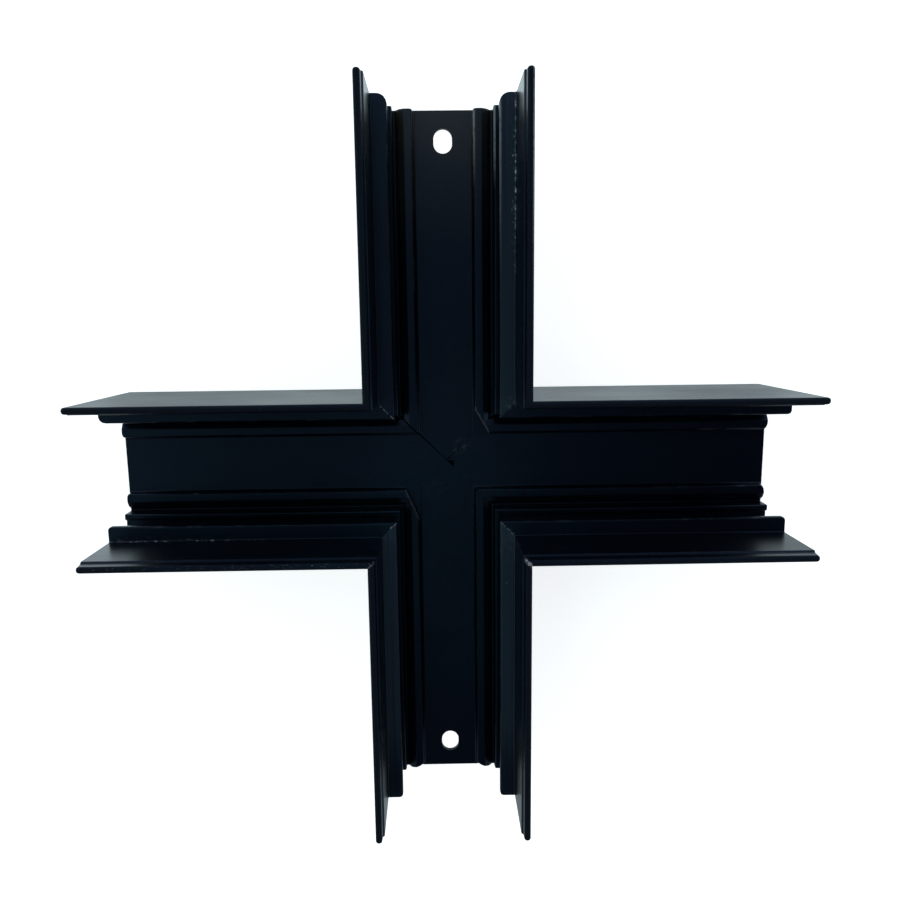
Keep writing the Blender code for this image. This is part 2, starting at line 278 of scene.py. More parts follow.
class FinishColours(bpy.types.PropertyGroup):
    """Colours and gloss of the finishes."""

    coat_deep: tint("Coat", "Black coat in its darkest places", (0.0006, 0.0012, 0.0034))
    coat_bloom: tint("Coat bloom", "Black coat where it is greyed", (0.0009, 0.0030, 0.0052))
    coat_teal: tint("Teal coat", "Black coat where it turns green", (0.0003, 0.0056, 0.0080))
    coat_violet: tint("Violet coat", "Black coat where it turns red", (0.0038, 0.0026, 0.0062))
    # Painted light: the pale glow on the web toward the upper arm's end, laid into the coat's colour
    coat_painted_glow: tint("Coat haze", "Coat dulled at the upper arm's end", (0.0240, 0.0220, 0.0180))
    # Painted light: shelves lightened where light falls along the channels, most on the lower arm
    coat_shelf_light: tint("Shelf coat", "Coat greyed by inserts along the shelves", (0.0150, 0.0230, 0.0320))
    coat_nose: tint("Nose coat", "Coat dulled on the lips' noses", (0.0016, 0.0012, 0.0015))
    # Rubbed coat, also used for painted highlights on edges near the arms' ends and along the cut beads
    coat_rubbed_and_highlight: tint("Rubbed coat", "Coat along rubbed edges", (0.042, 0.045, 0.050))
    coat_mirror: tint("Coat mirror", "Tint of what the coat mirrors straight on", (0.38, 0.58, 1.0))
    coat_mirror_level: share("Coat mirror level", "Strength of that mirroring", 0.20)
    coat_roughness: share("Coat roughness", "Gloss of the coat", 0.28)
    # Bare metal of chips, also used to paint highlights along edges of the upper arm
    bare_metal_and_highlight: tint("Bare metal", "Aluminium under a chip", (0.62, 0.63, 0.64))
    dust: tint("Dust", "Dust and grinding specks", (0.42, 0.44, 0.45))
    zinc: tint("Zinc", "Zinc plating", (0.56, 0.57, 0.59))
    zinc_dull: tint("Dull zinc", "Zinc plating gone dull", (0.34, 0.36, 0.38))
    zinc_roughness: share("Zinc roughness", "Gloss of the plating", 0.34)
    oxide: tint("Oxide", "Black oxide on steel", (0.030, 0.030, 0.034))
    oxide_rubbed: tint("Rubbed oxide", "Steel where the oxide is rubbed", (0.30, 0.29, 0.28))
    oxide_roughness: share("Oxide roughness", "Gloss of the oxide", 0.42)


class StageSettings(bpy.types.PropertyGroup):
    """Camera, light and floor."""

    camera_place: FloatVectorProperty(
        name="Camera", description="Place of the camera", unit="LENGTH",
        default=(-0.003007, 0.041740, 0.278147),
    )
    camera_turn: FloatVectorProperty(
        name="Turn", description="Turn from the part's axes to the camera's", subtype="EULER",
        default=(0.1929, 0.0140, 0.0150),
    )
    lens: FloatProperty(
        name="Lens", description="Focal length on a 36 mm sensor", default=35.57, unit="CAMERA"
    )
    shift: FloatProperty(
        name="Shift", description="Upward shift that frames the photograph", default=0.0511
    )
    lamp_place: FloatVectorProperty(
        name="Lamp", description="Place of the soft lamp", unit="LENGTH", default=(0.0, 0.40, 0.90)
    )
    lamp_width: size("Lamp width", "Width of the lamp", 0.20)
    lamp_power: FloatProperty(
        name="Lamp power", description="Power of the lamp", default=0.25, min=0, unit="POWER"
    )
    lamp_tint: tint("Lamp tint", "Colour of the lamp", (0.94, 0.98, 1.0))
    floor_size: size("Floor size", "Width of the floor", 6.0)
    floor_drop: size("Floor drop", "Gap under the cross", 0.0001)
    floor_shade: share("Floor shade", "Brightness of the floor", 0.82)
    floor_roughness: share("Floor roughness", "Dullness of the floor", 0.9)
    floor_tint: tint("Floor tint", "Cool white that the floor gives by itself", (0.80, 0.96, 1.0))
    floor_glow: share("Floor glow", "How much of it the background shows", 0.74)
    floor_glow_under: share("Floor glow under", "The same under the cross, seen through its slots", 0.96)
    floor_sheen: share("Floor sheen", "How much of it the coat mirrors", 0.45)


class TrackCross(bpy.types.PropertyGroup):
    """All settings of the cross."""

    section: PointerProperty(type=TrackSection)
    joinery: PointerProperty(type=JoinerySizes)
    finish: PointerProperty(type=FinishColours)
    stage: PointerProperty(type=StageSettings)


def corner_arc(before, corner, after, radius):
    """Points of the arc that rounds one corner, limited by the shorter side beside it."""
    if radius == 0:
        return [corner]
    to_before = before - corner
    to_after = after - corner
    room = min(to_before.length, to_after.length) / 2
    to_before.normalize()
    to_after.normalize()
    opening = to_before.angle(to_after)
    setback = min(radius / math.tan(opening / 2), room)
    radius = setback * math.tan(opening / 2)
    centre = corner + (to_before + to_after).normalized() * radius / math.sin(opening / 2)
    spoke = corner + to_before * setback - centre
    end_spoke = corner + to_after * setback - centre
    turn = math.copysign(math.pi - opening, spoke.x * end_spoke.y - spoke.y * end_spoke.x)
    steps = max(3, math.ceil(abs(turn) / ARC_STEP))
    return [centre + Matrix.Rotation(turn * step / steps, 2) @ spoke for step in range(steps + 1)]


def rounded_outline(corners, rim, filed=None):
    """Closed outline of (place, mark, rim) from corners of (across, up, radius, mark).

    The rim is the rounding at the cut ends: a share of the radius by the corner's mark, or plain.
    """
    filed = filed or {}
    outline = []
    for index, (across, up, radius, mark) in enumerate(corners):
        before = Vector(corners[index - 1][:2])
        after = Vector(corners[(index + 1) % len(corners)][:2])
        arc = corner_arc(before, Vector((across, up)), after, radius)
        marks = [PLAIN] + [mark] * (len(arc) - 2) + [PLAIN]
        own_rim = max(rim, filed.get(mark, 0) * radius)
        outline.extend((place, point_mark, own_rim) for place, point_mark in zip(arc, marks))
    return outline


def circle_outline(centre, radius, sides, rim):
    """Closed round outline about a centre."""
    turns = [2 * math.pi * side / sides for side in range(sides)]
    return [(centre + radius * Vector((math.cos(turn), math.sin(turn))), PLAIN, rim) for turn in turns]


def shelf_stations(section, end_radius):
    """Places across a shelf that its rounded end needs, from its edge inwards."""
    edge = section.shelf_gap / 2
    turns = [ARC_STEP * step for step in range(1, 7)]
    return [edge + end_radius * (1 - math.cos(turn)) for turn in turns]


def half_section(section, end_radius):
    """Corners of the section's right half, from the middle of the web's front round its wall."""
    web = section.web_height
    bead_inner = section.bead_gap / 2
    bead_outer = bead_inner + section.bead_width
    bead_top = web + section.bead_height
    shoulder = (bead_outer - section.bead_shoulder_inset, bead_top - section.bead_shoulder_drop)
    slot_half = section.ledge_gap / 2
    ledge = web + section.ledge_rise
    ledge_lip = ledge + section.ledge_lip_height
    lip_outer = slot_half + section.ledge_lip_width
    slot_back = HALF_WIDTH - section.outer_wall
    shelf = web + section.shelf_rise
    shelf_under = shelf - section.shelf_thickness
    shelf_inner = section.shelf_gap / 2
    mouth = section.mouth_width / 2
    rebate = TRACK_DEPTH - section.lip_height
    lip_inner = mouth + section.lip_rebate
    rear_edge = slot_half - section.rear_lip
    web_back = web - section.web_thickness
    edge = section.edge_radius
    root = section.root_radius
    stations = shelf_stations(section, end_radius)
    under = [(x, shelf_under, 0, PLAIN) for x in reversed(stations) if x > shelf_inner + root]
    over = [(x, shelf, 0, PLAIN) for x in stations if x > shelf_inner + section.shelf_radius]
    crest = [bead_inner + section.bead_crest * part for part in (0.45, 0.65)]
    return [
        (bead_inner, web, section.bead_root_radius, PLAIN),
        (bead_inner, bead_top, section.bead_radius, WORN),
        *[(x, bead_top, 0, PLAIN) for x in crest],
        (bead_inner + section.bead_crest, bead_top, section.bead_radius, PLAIN),
        (*shoulder, section.bead_radius, WORN),
        (bead_outer, web, root, PLAIN),
        (slot_half, web, root, PLAIN),
        (slot_half, ledge_lip, section.ledge_lip_radius, PLAIN),
        (lip_outer, ledge_lip, section.ledge_lip_radius, PLAIN),
        (lip_outer, ledge, root, PLAIN),
        (slot_back, ledge, edge, PLAIN),
        (slot_back, shelf_under, edge, PLAIN),
        *under,
        (shelf_inner, shelf_under, root, PLAIN),
        (shelf_inner, shelf, section.shelf_radius, WORN),
        *over,
        (mouth, shelf, edge, DUSTY),
        (mouth, rebate, root, WORN),
        (lip_inner, rebate + section.lip_rebate, root, PLAIN),
        (lip_inner, TRACK_DEPTH, section.lip_radius, NOSE),
        (HALF_WIDTH, TRACK_DEPTH, section.lip_radius, NOSE),
        (HALF_WIDTH, 0, edge, WORN),
        (rear_edge, 0, root, WORN),
        (rear_edge, section.rear_lip_thickness, root, PLAIN),
        (slot_half, section.rear_lip_thickness, root, PLAIN),
        (slot_half, web_back, edge, PLAIN),
    ]


def track_outline(section, left_radius, right_radius):
    """Closed outline of the track section, with the rounding of its shelves' ends on either side."""
    left = half_section(section, left_radius)
    mirrored = [(-across, up, radius, mark) for across, up, radius, mark in reversed(left)]
    front_middle = (0, section.web_height, 0, PLAIN)
    back_middle = (0, section.web_height - section.web_thickness, 0, PLAIN)
    corners = [front_middle, *half_section(section, right_radius), back_middle, *mirrored]
    filed = {WORN: section.worn_end_share, NOSE: section.nose_end_share}
    return rounded_outline(corners, section.end_rounding, filed)


def chamber_outline(section, side):
    """Hollow of one box foot, between the outer wall and the wall of the rear slot."""
    inner = side * (section.ledge_gap / 2 + section.foot_wall)
    outer = side * (HALF_WIDTH - section.outer_wall)
    bottom = section.rear_lip_thickness
    top = section.web_height + section.ledge_rise - section.foot_wall
    places = [(inner, bottom), (outer, bottom), (outer, top), (inner, top)]
    corners = [(*place, section.edge_radius, PLAIN) for place in places]
    return rounded_outline(corners, section.end_rounding)


def inward_steps(places, hole):
    """For each place on a closed outline, the step that moves its two sides one unit into the solid."""
    count = len(places)
    area = sum(places[i - 1].cross(places[i]) for i in range(count))
    turn = math.copysign(1, area) * (-1 if hole else 1)
    steps = []
    for index in range(count):
        along = (places[index] - places[index - 1]).normalized()
        onward = (places[(index + 1) % count] - places[index]).normalized()
        first = Vector((-along.y, along.x)) * turn
        second = Vector((-onward.y, onward.x)) * turn
        steps.append((first + second) / (1 + first.dot(second)))
    return steps


def outline_mesh(name, outlines, start_rim):
    """Flat faces for both ends of a prism, upright in XZ planes, with what the trees read.

    Each face gets its triangles from the outline as its rounded rim leaves it: the start face at
    Y 0 with one rim all round, and the end face at Y 1 with the outline's own.
    """
    shape = bmesh.new()
    section = shape.verts.layers.float_vector.new("section")
    inset = shape.verts.layers.float_vector.new("inset")
    rim = shape.verts.layers.float.new("rim")
    marks = {mark: shape.verts.layers.float.new(mark) for mark in (WORN, DUSTY)}
    for along in (0, 1):
        edges = []
        for number, outline in enumerate(outlines):
            steps = inward_steps([place for place, _, _ in outline], number > 0)
            corners = []
            for (place, mark, own_rim), step in zip(outline, steps):
                spot = place + step * (own_rim if along else start_rim)
                corner = shape.verts.new((spot.x, along, spot.y))
                corner[section] = (place.x, 0, place.y)
                corner[inset] = (step.x, 0, step.y)
                corner[rim] = own_rim
                if mark in marks:
                    corner[marks[mark]] = 1
                corners.append(corner)
            edges += [
                shape.edges.new((corners[index - 1], corner)) for index, corner in enumerate(corners)
            ]
        bmesh.ops.triangle_fill(shape, edges=edges, use_beauty=True, normal=(0, 2 * along - 1, 0))
    mesh = bpy.data.meshes.new(name)
    shape.to_mesh(mesh)
    shape.free()
    return mesh


class Field:
    """What a node puts out, with arithmetic that adds nodes to the same tree."""

    def __init__(self, socket):
        self.socket = socket
        self.tree = socket.id_data

    def __add__(self, other):
        return calc("ADD", self, other)

    def __sub__(self, other):
        return calc("SUBTRACT", self, other)

    def __rsub__(self, other):
        return calc("SUBTRACT", other, self)

    def __mul__(self, other):
        return calc("MULTIPLY", self, other)

    def __truediv__(self, other):
        return calc("DIVIDE", self, other)

    def __neg__(self):
        return self * -1

    def __abs__(self):
        return calc("ABSOLUTE", self)

    def __gt__(self, other):
        return calc("GREATER_THAN", self, other)

    def __lt__(self, other):
        return calc("LESS_THAN", self, other)

    __radd__ = __add__
    __rmul__ = __mul__


def wire(socket, value):
    """Link a field to an input, or set the input's own value."""
    if isinstance(value, Field):
        value.tree.links.new(value.socket, socket)
    else:
        socket.default_value = value


def node(kind, inputs=None, tree=None, **settings):
    """New node with its settings, and fields or values for its inputs by name or number.

    Without a tree it joins the tree of the first field among its inputs.
    """
    inputs = inputs or {}
    tree = tree or next(value.tree for value in inputs.values() if isinstance(value, Field))
    made = tree.nodes.new(kind)
    for name, value in settings.items():
        setattr(made, name, value)
    for name, value in inputs.items():
        wire(made.inputs[name], value)
    return made


def output(name, kind, inputs=None, tree=None, **settings):
    """One output of a new node."""
    return Field(node(kind, inputs, tree, **settings).outputs[name])


def outputs(kind, inputs=None, tree=None, **settings):
    """All outputs of a new node, by name."""
    made = node(kind, inputs, tree, **settings)
    return {socket.name: Field(socket) for socket in made.outputs}


def calc(operation, *values):
    """Result of a Math node."""
    return output("Value", "ShaderNodeMath", dict(enumerate(values)), operation=operation)


def maximum(first, *others):
    """Largest of several numbers."""
    for other in others:
        first = calc("MAXIMUM", first, other)
    return first


def minimum(first, second):
    """Smaller of two numbers."""
    return calc("MINIMUM", first, second)


def clamped(value):
    """Number held between 0 and 1."""
    return minimum(maximum(value, 0), 1)


def about(value, middle, margin):
    """1 where a number lies within a margin of the middle, and 0 elsewhere."""
    return calc("COMPARE", value, middle, margin)


def between(first, second, factor):
    """Number that runs from the first to the second as the factor goes from 0 to 1."""
    return (second - first) * factor + first


def vector_sum(first, second):
    """Sum of two vectors."""
    return output("Vector", "ShaderNodeVectorMath", {0: first, 1: second}, operation="ADD")


def xyz(place):
    """The three numbers of a vector."""
    return list(outputs("ShaderNodeSeparateXYZ", {"Vector": place}).values())


def vector(x, y, z):
    """Vector from three numbers."""
    return output("Vector", "ShaderNodeCombineXYZ", {"X": x, "Y": y, "Z": z})


def floats(*names):
    """Number inputs of a tree."""
    return {name: "Float" for name in names}


def new_tree(name, kind, inputs, results):
    """Node tree with named sockets, as (tree, its given fields by name, its output node)."""
    tree = bpy.data.node_groups.new(name, kind)
    for in_out, sockets in (("INPUT", inputs), ("OUTPUT", results)):
        for label, socket_type in sockets.items():
            tree.interface.new_socket(label, in_out=in_out, socket_type="NodeSocket" + socket_type)
    return tree, outputs("NodeGroupInput", tree=tree), node("NodeGroupOutput", tree=tree)


def new_shape(name, inputs):
    """Geometry tree that puts out one mesh."""
    return new_tree(name, "GeometryNodeTree", inputs, {"Mesh": "Geometry"})


def position(tree):
    """Place of each point of a mesh."""
    return output("Position", "GeometryNodeInputPosition", tree=tree)


def named(tree, name, data_type="FLOAT"):
    """Attribute of a mesh."""
    return output(
        "Attribute", "GeometryNodeInputNamedAttribute", {"Name": name}, tree, data_type=data_type
    )


def store(geometry, name, value, data_type="FLOAT", selection=True):
    """Geometry with an attribute on its points."""
    return output(
        "Geometry",
        "GeometryNodeStoreNamedAttribute",
        {"Geometry": geometry, "Selection": selection, "Name": name, "Value": value},
        data_type=data_type,
        domain="POINT",
    )


def join(*geometries):
    """One geometry from several."""
    made = node("GeometryNodeJoinGeometry", tree=geometries[0].tree)
    for geometry in geometries:
        wire(made.inputs["Geometry"], geometry)
    return Field(made.outputs["Geometry"])


def flipped(geometry):
    """Mesh with its faces turned round."""
    return output("Mesh", "GeometryNodeFlipFaces", {"Mesh": geometry})


def moved(geometry, **where):
    """Geometry with its points at a Position, or shifted by an Offset."""
    return output("Geometry", "GeometryNodeSetPosition", {"Geometry": geometry, **where})


def turned(geometry, **how):
    """Geometry with a Rotation about the origin and then a Translation."""
    return output("Geometry", "GeometryNodeTransform", {"Geometry": geometry, **how})


def cylinder(tree, sides, segments, radius, depth):
    """Upright drum about the origin, with its wall in segments."""
    inputs = {"Vertices": sides, "Side Segments": segments, "Radius": radius, "Depth": depth}
    return output("Mesh", "GeometryNodeMeshCylinder", inputs, tree)


def difference(solid, *cutters):
    """Solid with the cutters taken out of it."""
    cut = node("GeometryNodeMeshBoolean", {"Mesh 1": solid}, operation="DIFFERENCE", solver="EXACT")
    for cutter in cutters:
        wire(cut.inputs["Mesh 2"], cutter)
    return Field(cut.outputs["Mesh"])


def only_if(wanted, geometry):
    """Geometry that is there only if it is wanted."""
    inputs = {"Switch": wanted, "True": geometry}
    return output("Output", "GeometryNodeSwitch", inputs, input_type="GEOMETRY")


def finished(result, geometry, material):
    """End a tree: make instances real and give the mesh its finish."""
    real = output("Geometry", "GeometryNodeRealizeInstances", {"Geometry": geometry})
    inputs = {"Geometry": real, "Material": material}
    wire(result.inputs["Mesh"], output("Geometry", "GeometryNodeSetMaterial", inputs))


def prism_tree():
    """Group that runs a flat outline along +Y, with the rims of both ends rounded."""
    inputs = {"Outline": "Geometry", **floats("Length", "Start Rounding", "End Rounding")}
    tree, given, result = new_shape("rounded_prism", inputs)
    faces = outputs(
        "GeometryNodeSeparateGeometry",
        {"Geometry": given["Outline"], "Selection": xyz(position(tree))[1] > 0.5},
        domain="FACE",
    )
    start_face = store(faces["Inverted"], "ring", 0.0)
    end_face = store(faces["Selection"], "ring", float(LAST_RING))
    body = flipped(start_face)
    front = True
    for number in range(1, LAST_RING + 1):
        onward = outputs(
            "GeometryNodeExtrudeMesh",
            {"Mesh": body, "Selection": front, "Offset Scale": MILLIMETRE, "Individual": False},
            mode="FACES",
        )
        front = onward["Top"]
        body = store(onward["Mesh"], "ring", float(number), selection=front)
    walls = output(
        "Geometry", "GeometryNodeDeleteGeometry", {"Geometry": body, "Selection": front}, domain="FACE"
    )
    whole = join(walls, start_face, end_face)
    ring = named(tree, "ring")
    at_start = ring < ROUNDING_STEPS + 0.5
    turn = between(LAST_RING - ring, ring, at_start) * (QUARTER_TURN / ROUNDING_STEPS)
    radius = between(given["End Rounding"], given["Start Rounding"], at_start)
    step = output(
        "Vector",
        "ShaderNodeVectorMath",
        {0: named(tree, "inset", "FLOAT_VECTOR"), "Scale": radius * (1 - calc("SINE", turn))},
        operation="SCALE",
    )
    across, _, up = xyz(vector_sum(named(tree, "section", "FLOAT_VECTOR"), step))
    setback = radius * (1 - calc("COSINE", turn))
    along = between(given["Length"] - setback, setback, at_start)
    rounded = moved(whole, Position=vector(across, along, up))
    marked = store(rounded, WORN, maximum(named(tree, WORN), calc("SINE", turn * 2)))
    marked = store(marked, "at_start", at_start)
    inputs = {"Geometry": marked, "Distance": WELD_DISTANCE}
    wire(result.inputs["Mesh"], output("Geometry", "GeometryNodeMergeByDistance", inputs))
    return tree


def prism(group, outline, length, start_rounding, end_rounding):
    """Mesh of a rounded prism."""
    inputs = {
        "Outline": outline,
        "Length": length,
        "Start Rounding": start_rounding,
        "End Rounding": end_rounding,
    }
    return output("Mesh", "GeometryNodeGroup", inputs, node_tree=group)


def slot_cutter(tree, given):
    """Round-ended cutter with a flared mouth at the web's front."""
    half_width = given["Slot Width"] * 0.5
    drum = cylinder(tree, SLOT_SIDES, 2, half_width, 1.0)
    x, y, z = xyz(position(tree))
    top = z > 0.25
    bottom = z < -0.25
    chamfer = given["Slot Chamfer"]
    flare = chamfer / half_width * (top * 2) + 1
    stretch = (given["Slot Length"] - given["Slot Width"]) * 0.5
    along = calc("SIGN", y) * stretch + y * flare + given["Slot Reach"]
    front = given["Web Height"] + chamfer * (top * 2 - 1)
    fall = bottom * (given["Web Thickness"] * 2)
    return moved(drum, Position=vector(x * flare, along, front - fall))


def wedge_cutter(tree, corner, reach, levels):
    """Three-sided cutter over a right-angled corner.

    The corner and its reach are pairs across and along the arm. The levels give a height and a
    size for its foot, middle and top. A reach to one side turns the faces, so it is flipped back.
    """
    drum = cylinder(tree, 3, 2, 1.0, 2.0)
    x, y, level = xyz(position(tree))
    first = x * (2 / 3) + 1 / 3
    second = (y * (2 / math.sqrt(3)) + (1 - first)) * 0.5
    above = maximum(level, 0)
    below = maximum(-level, 0)
    foot, middle, top = levels
    height, scale = (
        between(between(middle[part], top[part], above), foot[part], below) for part in (0, 1)
    )
    place = [
        ((weight - 1 / 3) * scale + 1 / 3) * length + start
        for start, length, weight in zip(corner, reach, (first, second))
    ]
    return moved(drum, Position=vector(*place, height))


def bead_cutter(tree, given, cut, side):
    """Cutter that takes a bead's corner away beside a mitre, down to the web."""
    across, along, _ = xyz(cut)
    corner = []
    reach = []
    for length, direction in ((across, side), (along, 1)):
        corner.append(given["Bead Inner"] * direction - length * (direction * CUT_MARGIN))
        reach.append(length * (direction * (1 + 2 * CUT_MARGIN)))
    crest = given["Web Height"] + given["Bead Height"]
    levels = [
        (given["Web Height"] + CUTTER_CLEARANCE, 1.0),
        (crest - given["Cut Chamfer"], 1.0),
        (crest + given["Cut Chamfer"], CUT_FLARE),
    ]
    cutter = wedge_cutter(tree, corner, reach, levels)
    return cutter if side > 0 else flipped(cutter)


def pit_cutter(tree, given):
    """Cutter for the pit beside the arm's point, steep so that it stays dark."""
    width = given["Pit Width"]
    web = given["Web Height"]
    levels = [
        (web - given["Pit Depth"], PIT_POINT),
        (web - CUTTER_CLEARANCE, 1.0),
        (web + 0.1 * MILLIMETRE, 1.0),
    ]
    return flipped(wedge_cutter(tree, (0.0, width), (width, -width), levels))


def corner_trim(over_edge, radius):
    """How far a round corner stands back from the end, by the distance from its edge."""
    toward = clamped(1 - over_edge / radius)
    return radius * (1 - calc("SQRT", 1 - toward * toward))


def end_shift(tree, given):
    """How far each point of an arm moves along it, to its mitres or its filed end."""
    across, _, up = xyz(position(tree))
    side = abs(across)
    right = across > 0
    over_web = up - given["Web Height"]
    groove_top = given["Bead Height"] + MILLIMETRE / 2
    in_groove = (over_web > given["Web Thickness"] * -0.5) * (over_web < groove_top)
    mitre = between(given["Left Gap"], given["Right Gap"], right) * in_groove + side
    shelf_radius = between(given["Left Shelf Radius"], given["Right Shelf Radius"], right)
    shelf_low = given["Shelf Under"] - MILLIMETRE
    shelf_trim = corner_trim(side - given["Shelf Edge"], shelf_radius) * (up > shelf_low)
    bead_trim = corner_trim(side - given["Bead Inner"], given["Bead End Radius"]) * FILED_SLOPE
    on_bead = clamped(over_web / FILED_RISE) * in_groove
    on_lip = side < given["Ledge Outer"] + MILLIMETRE / 5
    on_ledge = (over_web > groove_top) * (up < shelf_low) * on_lip
    trim = given["Ledge End"] * on_ledge + (bead_trim * on_bead + shelf_trim)
    return between(-trim, mitre, named(tree, "at_start"))


def arm_tree(prism_group):
    """Tree of one arm: the track's section run out from two mitres, with rounded shelf ends."""
    inputs = {
        "Outline": "Geometry",
        **floats(*ARM_SETTINGS),
        **floats("Reach", "Left Gap", "Right Gap", "Bead Inner", "Bead End Radius"),
        **floats("Shelf Edge", "Shelf Under", "Left Shelf Radius", "Right Shelf Radius"),
        **floats("Ledge End", "Ledge Outer", "Slot Reach", "Turn", "Seed"),
        "Left Cut": "Vector",
        "Right Cut": "Vector",
        "Pitted": "Bool",
        "Slotted": "Bool",
        "Coat": "Material",
    }
    tree, given, result = new_shape("mitred_arm", inputs)
    rim = named(tree, "rim")
    length = prism(prism_group, given["Outline"], given["Reach"], given["Mitre Rounding"], rim)
    cut = difference(
        moved(length, Offset=vector(0.0, end_shift(tree, given), 0.0)),
        only_if(given["Slotted"], slot_cutter(tree, given)),
        only_if(given["Pitted"], pit_cutter(tree, given)),
        bead_cutter(tree, given, given["Left Cut"], -1),
        bead_cutter(tree, given, given["Right Cut"], 1),
    )
    own_place = vector_sum(position(tree), vector(0.0, given["Seed"], 0.0))
    known = store(cut, "arm_place", own_place, "FLOAT_VECTOR")
    finished(result, turned(known, Rotation=vector(0.0, 0.0, given["Turn"])), given["Coat"])
    return tree


def key_tree(prism_group):
    """Tree of one corner key: an L-shaped plate with broken edges, laid in its corner."""
    inputs = {
        "Outline": "Geometry",
        **floats("Thickness", "Key Rounding", "Front", "Turn"),
        "Plating": "Material",
    }
    tree, given, result = new_shape("corner_key", inputs)
    rounding = given["Key Rounding"]
    plate = prism(prism_group, given["Outline"], given["Thickness"], rounding, rounding)
    laid = turned(plate, Rotation=(-QUARTER_TURN, 0, 0))
    placed = turned(
        laid,
        Translation=vector(0.0, 0.0, given["Front"]),
        Rotation=vector(0.0, 0.0, given["Turn"]),
    )
    finished(result, placed, given["Plating"])
    return tree


def screw_tree():
    """Tree of one grub screw: a threaded drum with chamfered ends and a hexagon socket below."""
    inputs = {
        "Mesh": "Geometry",
        **floats("Diameter", "Length", "Turn"),
        **floats(*SCREW_SETTINGS),
        "Point": "Vector",
        "Oxide": "Material",
    }
    tree, given, result = new_shape("grub_screw", inputs)
    length = given["Length"]
    radius = given["Diameter"] * 0.5
    drum = cylinder(tree, SCREW_SIDES, SCREW_RINGS, radius, length)
    x, y, z = xyz(position(tree))
    turn = calc("ARCTAN2", y, x) / (2 * math.pi)
    phase = calc("FRACT", z / given["Thread Pitch"] - turn + SPARE_TURNS)
    flank = minimum(abs(phase * 2 - 1) * FLANK_SLOPE, 1)
    threaded = between(radius - given["Thread Depth"], radius, flank)
    cone = radius - given["Screw Chamfer"] + (length * 0.5 - abs(z))
    reach = minimum(threaded, cone) / radius
    shaped = moved(drum, Position=vector(x * reach, y * reach, z))
    socket_corner = given["Socket Across Flats"] / (2 * math.cos(math.pi / 6))
    socket = cylinder(tree, 6, 1, socket_corner, given["Socket Depth"] * 2)
    low = vector(0.0, 0.0, length * -0.5)
    cut = difference(shaped, turned(socket, Translation=low))
    seated = turned(
        store(cut, WORN, flank > CREST_SHARE),
        Translation=vector_sum(given["Point"], low),
        Rotation=vector(0.0, 0.0, given["Turn"]),
    )
    finished(result, seated, given["Oxide"])
    return tree


def same_named(group, labels):
    """Settings of a group for the inputs of a tree that have the same names."""
    return {label: getattr(group, label.lower().replace(" ", "_")) for label in labels}


def evaluated_mesh(holder):
    """Plain mesh of an object as its modifiers leave it."""
    depsgraph = bpy.context.evaluated_depsgraph_get()
    return bpy.data.meshes.new_from_object(holder.evaluated_get(depsgraph))


def make_piece(name, mesh, tree, values, material, slot, *nodes):
    """Run a tree on a mesh and keep the result as a piece that stands for its CAD nodes."""
    source = bpy.data.objects.new(name + "_source", mesh)
    bpy.context.scene.collection.objects.link(source)
    modifier = source.modifiers.new(tree.name, "NODES")
    modifier.node_group = tree
    for item in tree.interface.items_tree:
        if item.in_out == "INPUT" and item.name in values:
            modifier[item.identifier] = values[item.name]
    made = evaluated_mesh(source)
    bpy.data.objects.remove(source)
    made.materials.clear()
    made.materials.append(material)
    made.shade_smooth()
    made.set_sharp_from_angle(angle=SMOOTH_ANGLE)
    piece = bpy.data.objects.new(name, made)
    bpy.context.scene.collection.objects.link(piece)
    weighting = piece.modifiers.new("flat_faces_first", "WEIGHTED_NORMAL")
    weighting.keep_sharp = True
    weighted = evaluated_mesh(piece)
    piece.modifiers.clear()
    piece.data = weighted
    weighted.name = name
    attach(piece, BODY)
    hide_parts(*nodes)
    return piece


def noise(place, scale, detail=2.0, roughness=0.5):
    """Even noise from 0 to 1 at a place."""
    inputs = {"Vector": place, "Scale": scale, "Detail": detail, "Roughness": roughness}
    return output("Fac", "ShaderNodeTexNoise", inputs)


def ramp(value, low, high):
    """Number eased from 0 at low to 1 at high."""
    inputs = {"Value": value, "From Min": low, "From Max": high}
    return output("Result", "ShaderNodeMapRange", inputs, interpolation_type="SMOOTHSTEP")


def blended(factor, first, second):
    """Colour that goes from the first to the second, each a field or three numbers."""
    made = node("ShaderNodeMix", {"Factor": factor}, data_type="RGBA")
    inputs = {socket.identifier: socket for socket in made.inputs}
    for identifier, colour in (("A_Color", first), ("B_Color", second)):
        wire(inputs[identifier], colour if isinstance(colour, Field) else (*colour, 1))
    return Field(next(item for item in made.outputs if item.identifier == "Result_Color"))


def closeness(place, centre, radius):
    """1 near a centre, eased to 0 at the radius."""
    away = output("Value", "ShaderNodeVectorMath", {0: place, 1: centre}, operation="DISTANCE")
    return ramp(away, radius, radius * SPOT_CORE)


def new_effect(name, inputs, results):
    """Shader node group that reads a place."""
    return new_tree(name, "ShaderNodeTree", {"Place": "Vector", **inputs}, floats(*results))[1:]


def grain_effect():
    """Fine unevenness of a coat or plating: a height for bumps and a slow change of tone."""
    given, result = new_effect("fine_grain", floats("Grain Scale", "Tone Scale"), ("Height", "Tone"))
    slow = noise(given["Place"], given["Tone Scale"], 4.0, 0.6)
    wire(result.inputs["Height"], noise(given["Place"], given["Grain Scale"], 3.0))
    wire(result.inputs["Tone"], ramp(slow, 0.3, 0.7))


def draw_line_effect():
    """Faint lines that a die or a roll leaves along the metal."""
    given, result = new_effect("draw_lines", floats("Across Scale", "Along Scale"), ("Lines",))
    x, y, z = xyz(given["Place"])
    across = given["Across Scale"]
    streaked = vector(x * across, y * given["Along Scale"], z * across)
    wire(result.inputs["Lines"], noise(streaked, 1.0, 2.0, 0.6))


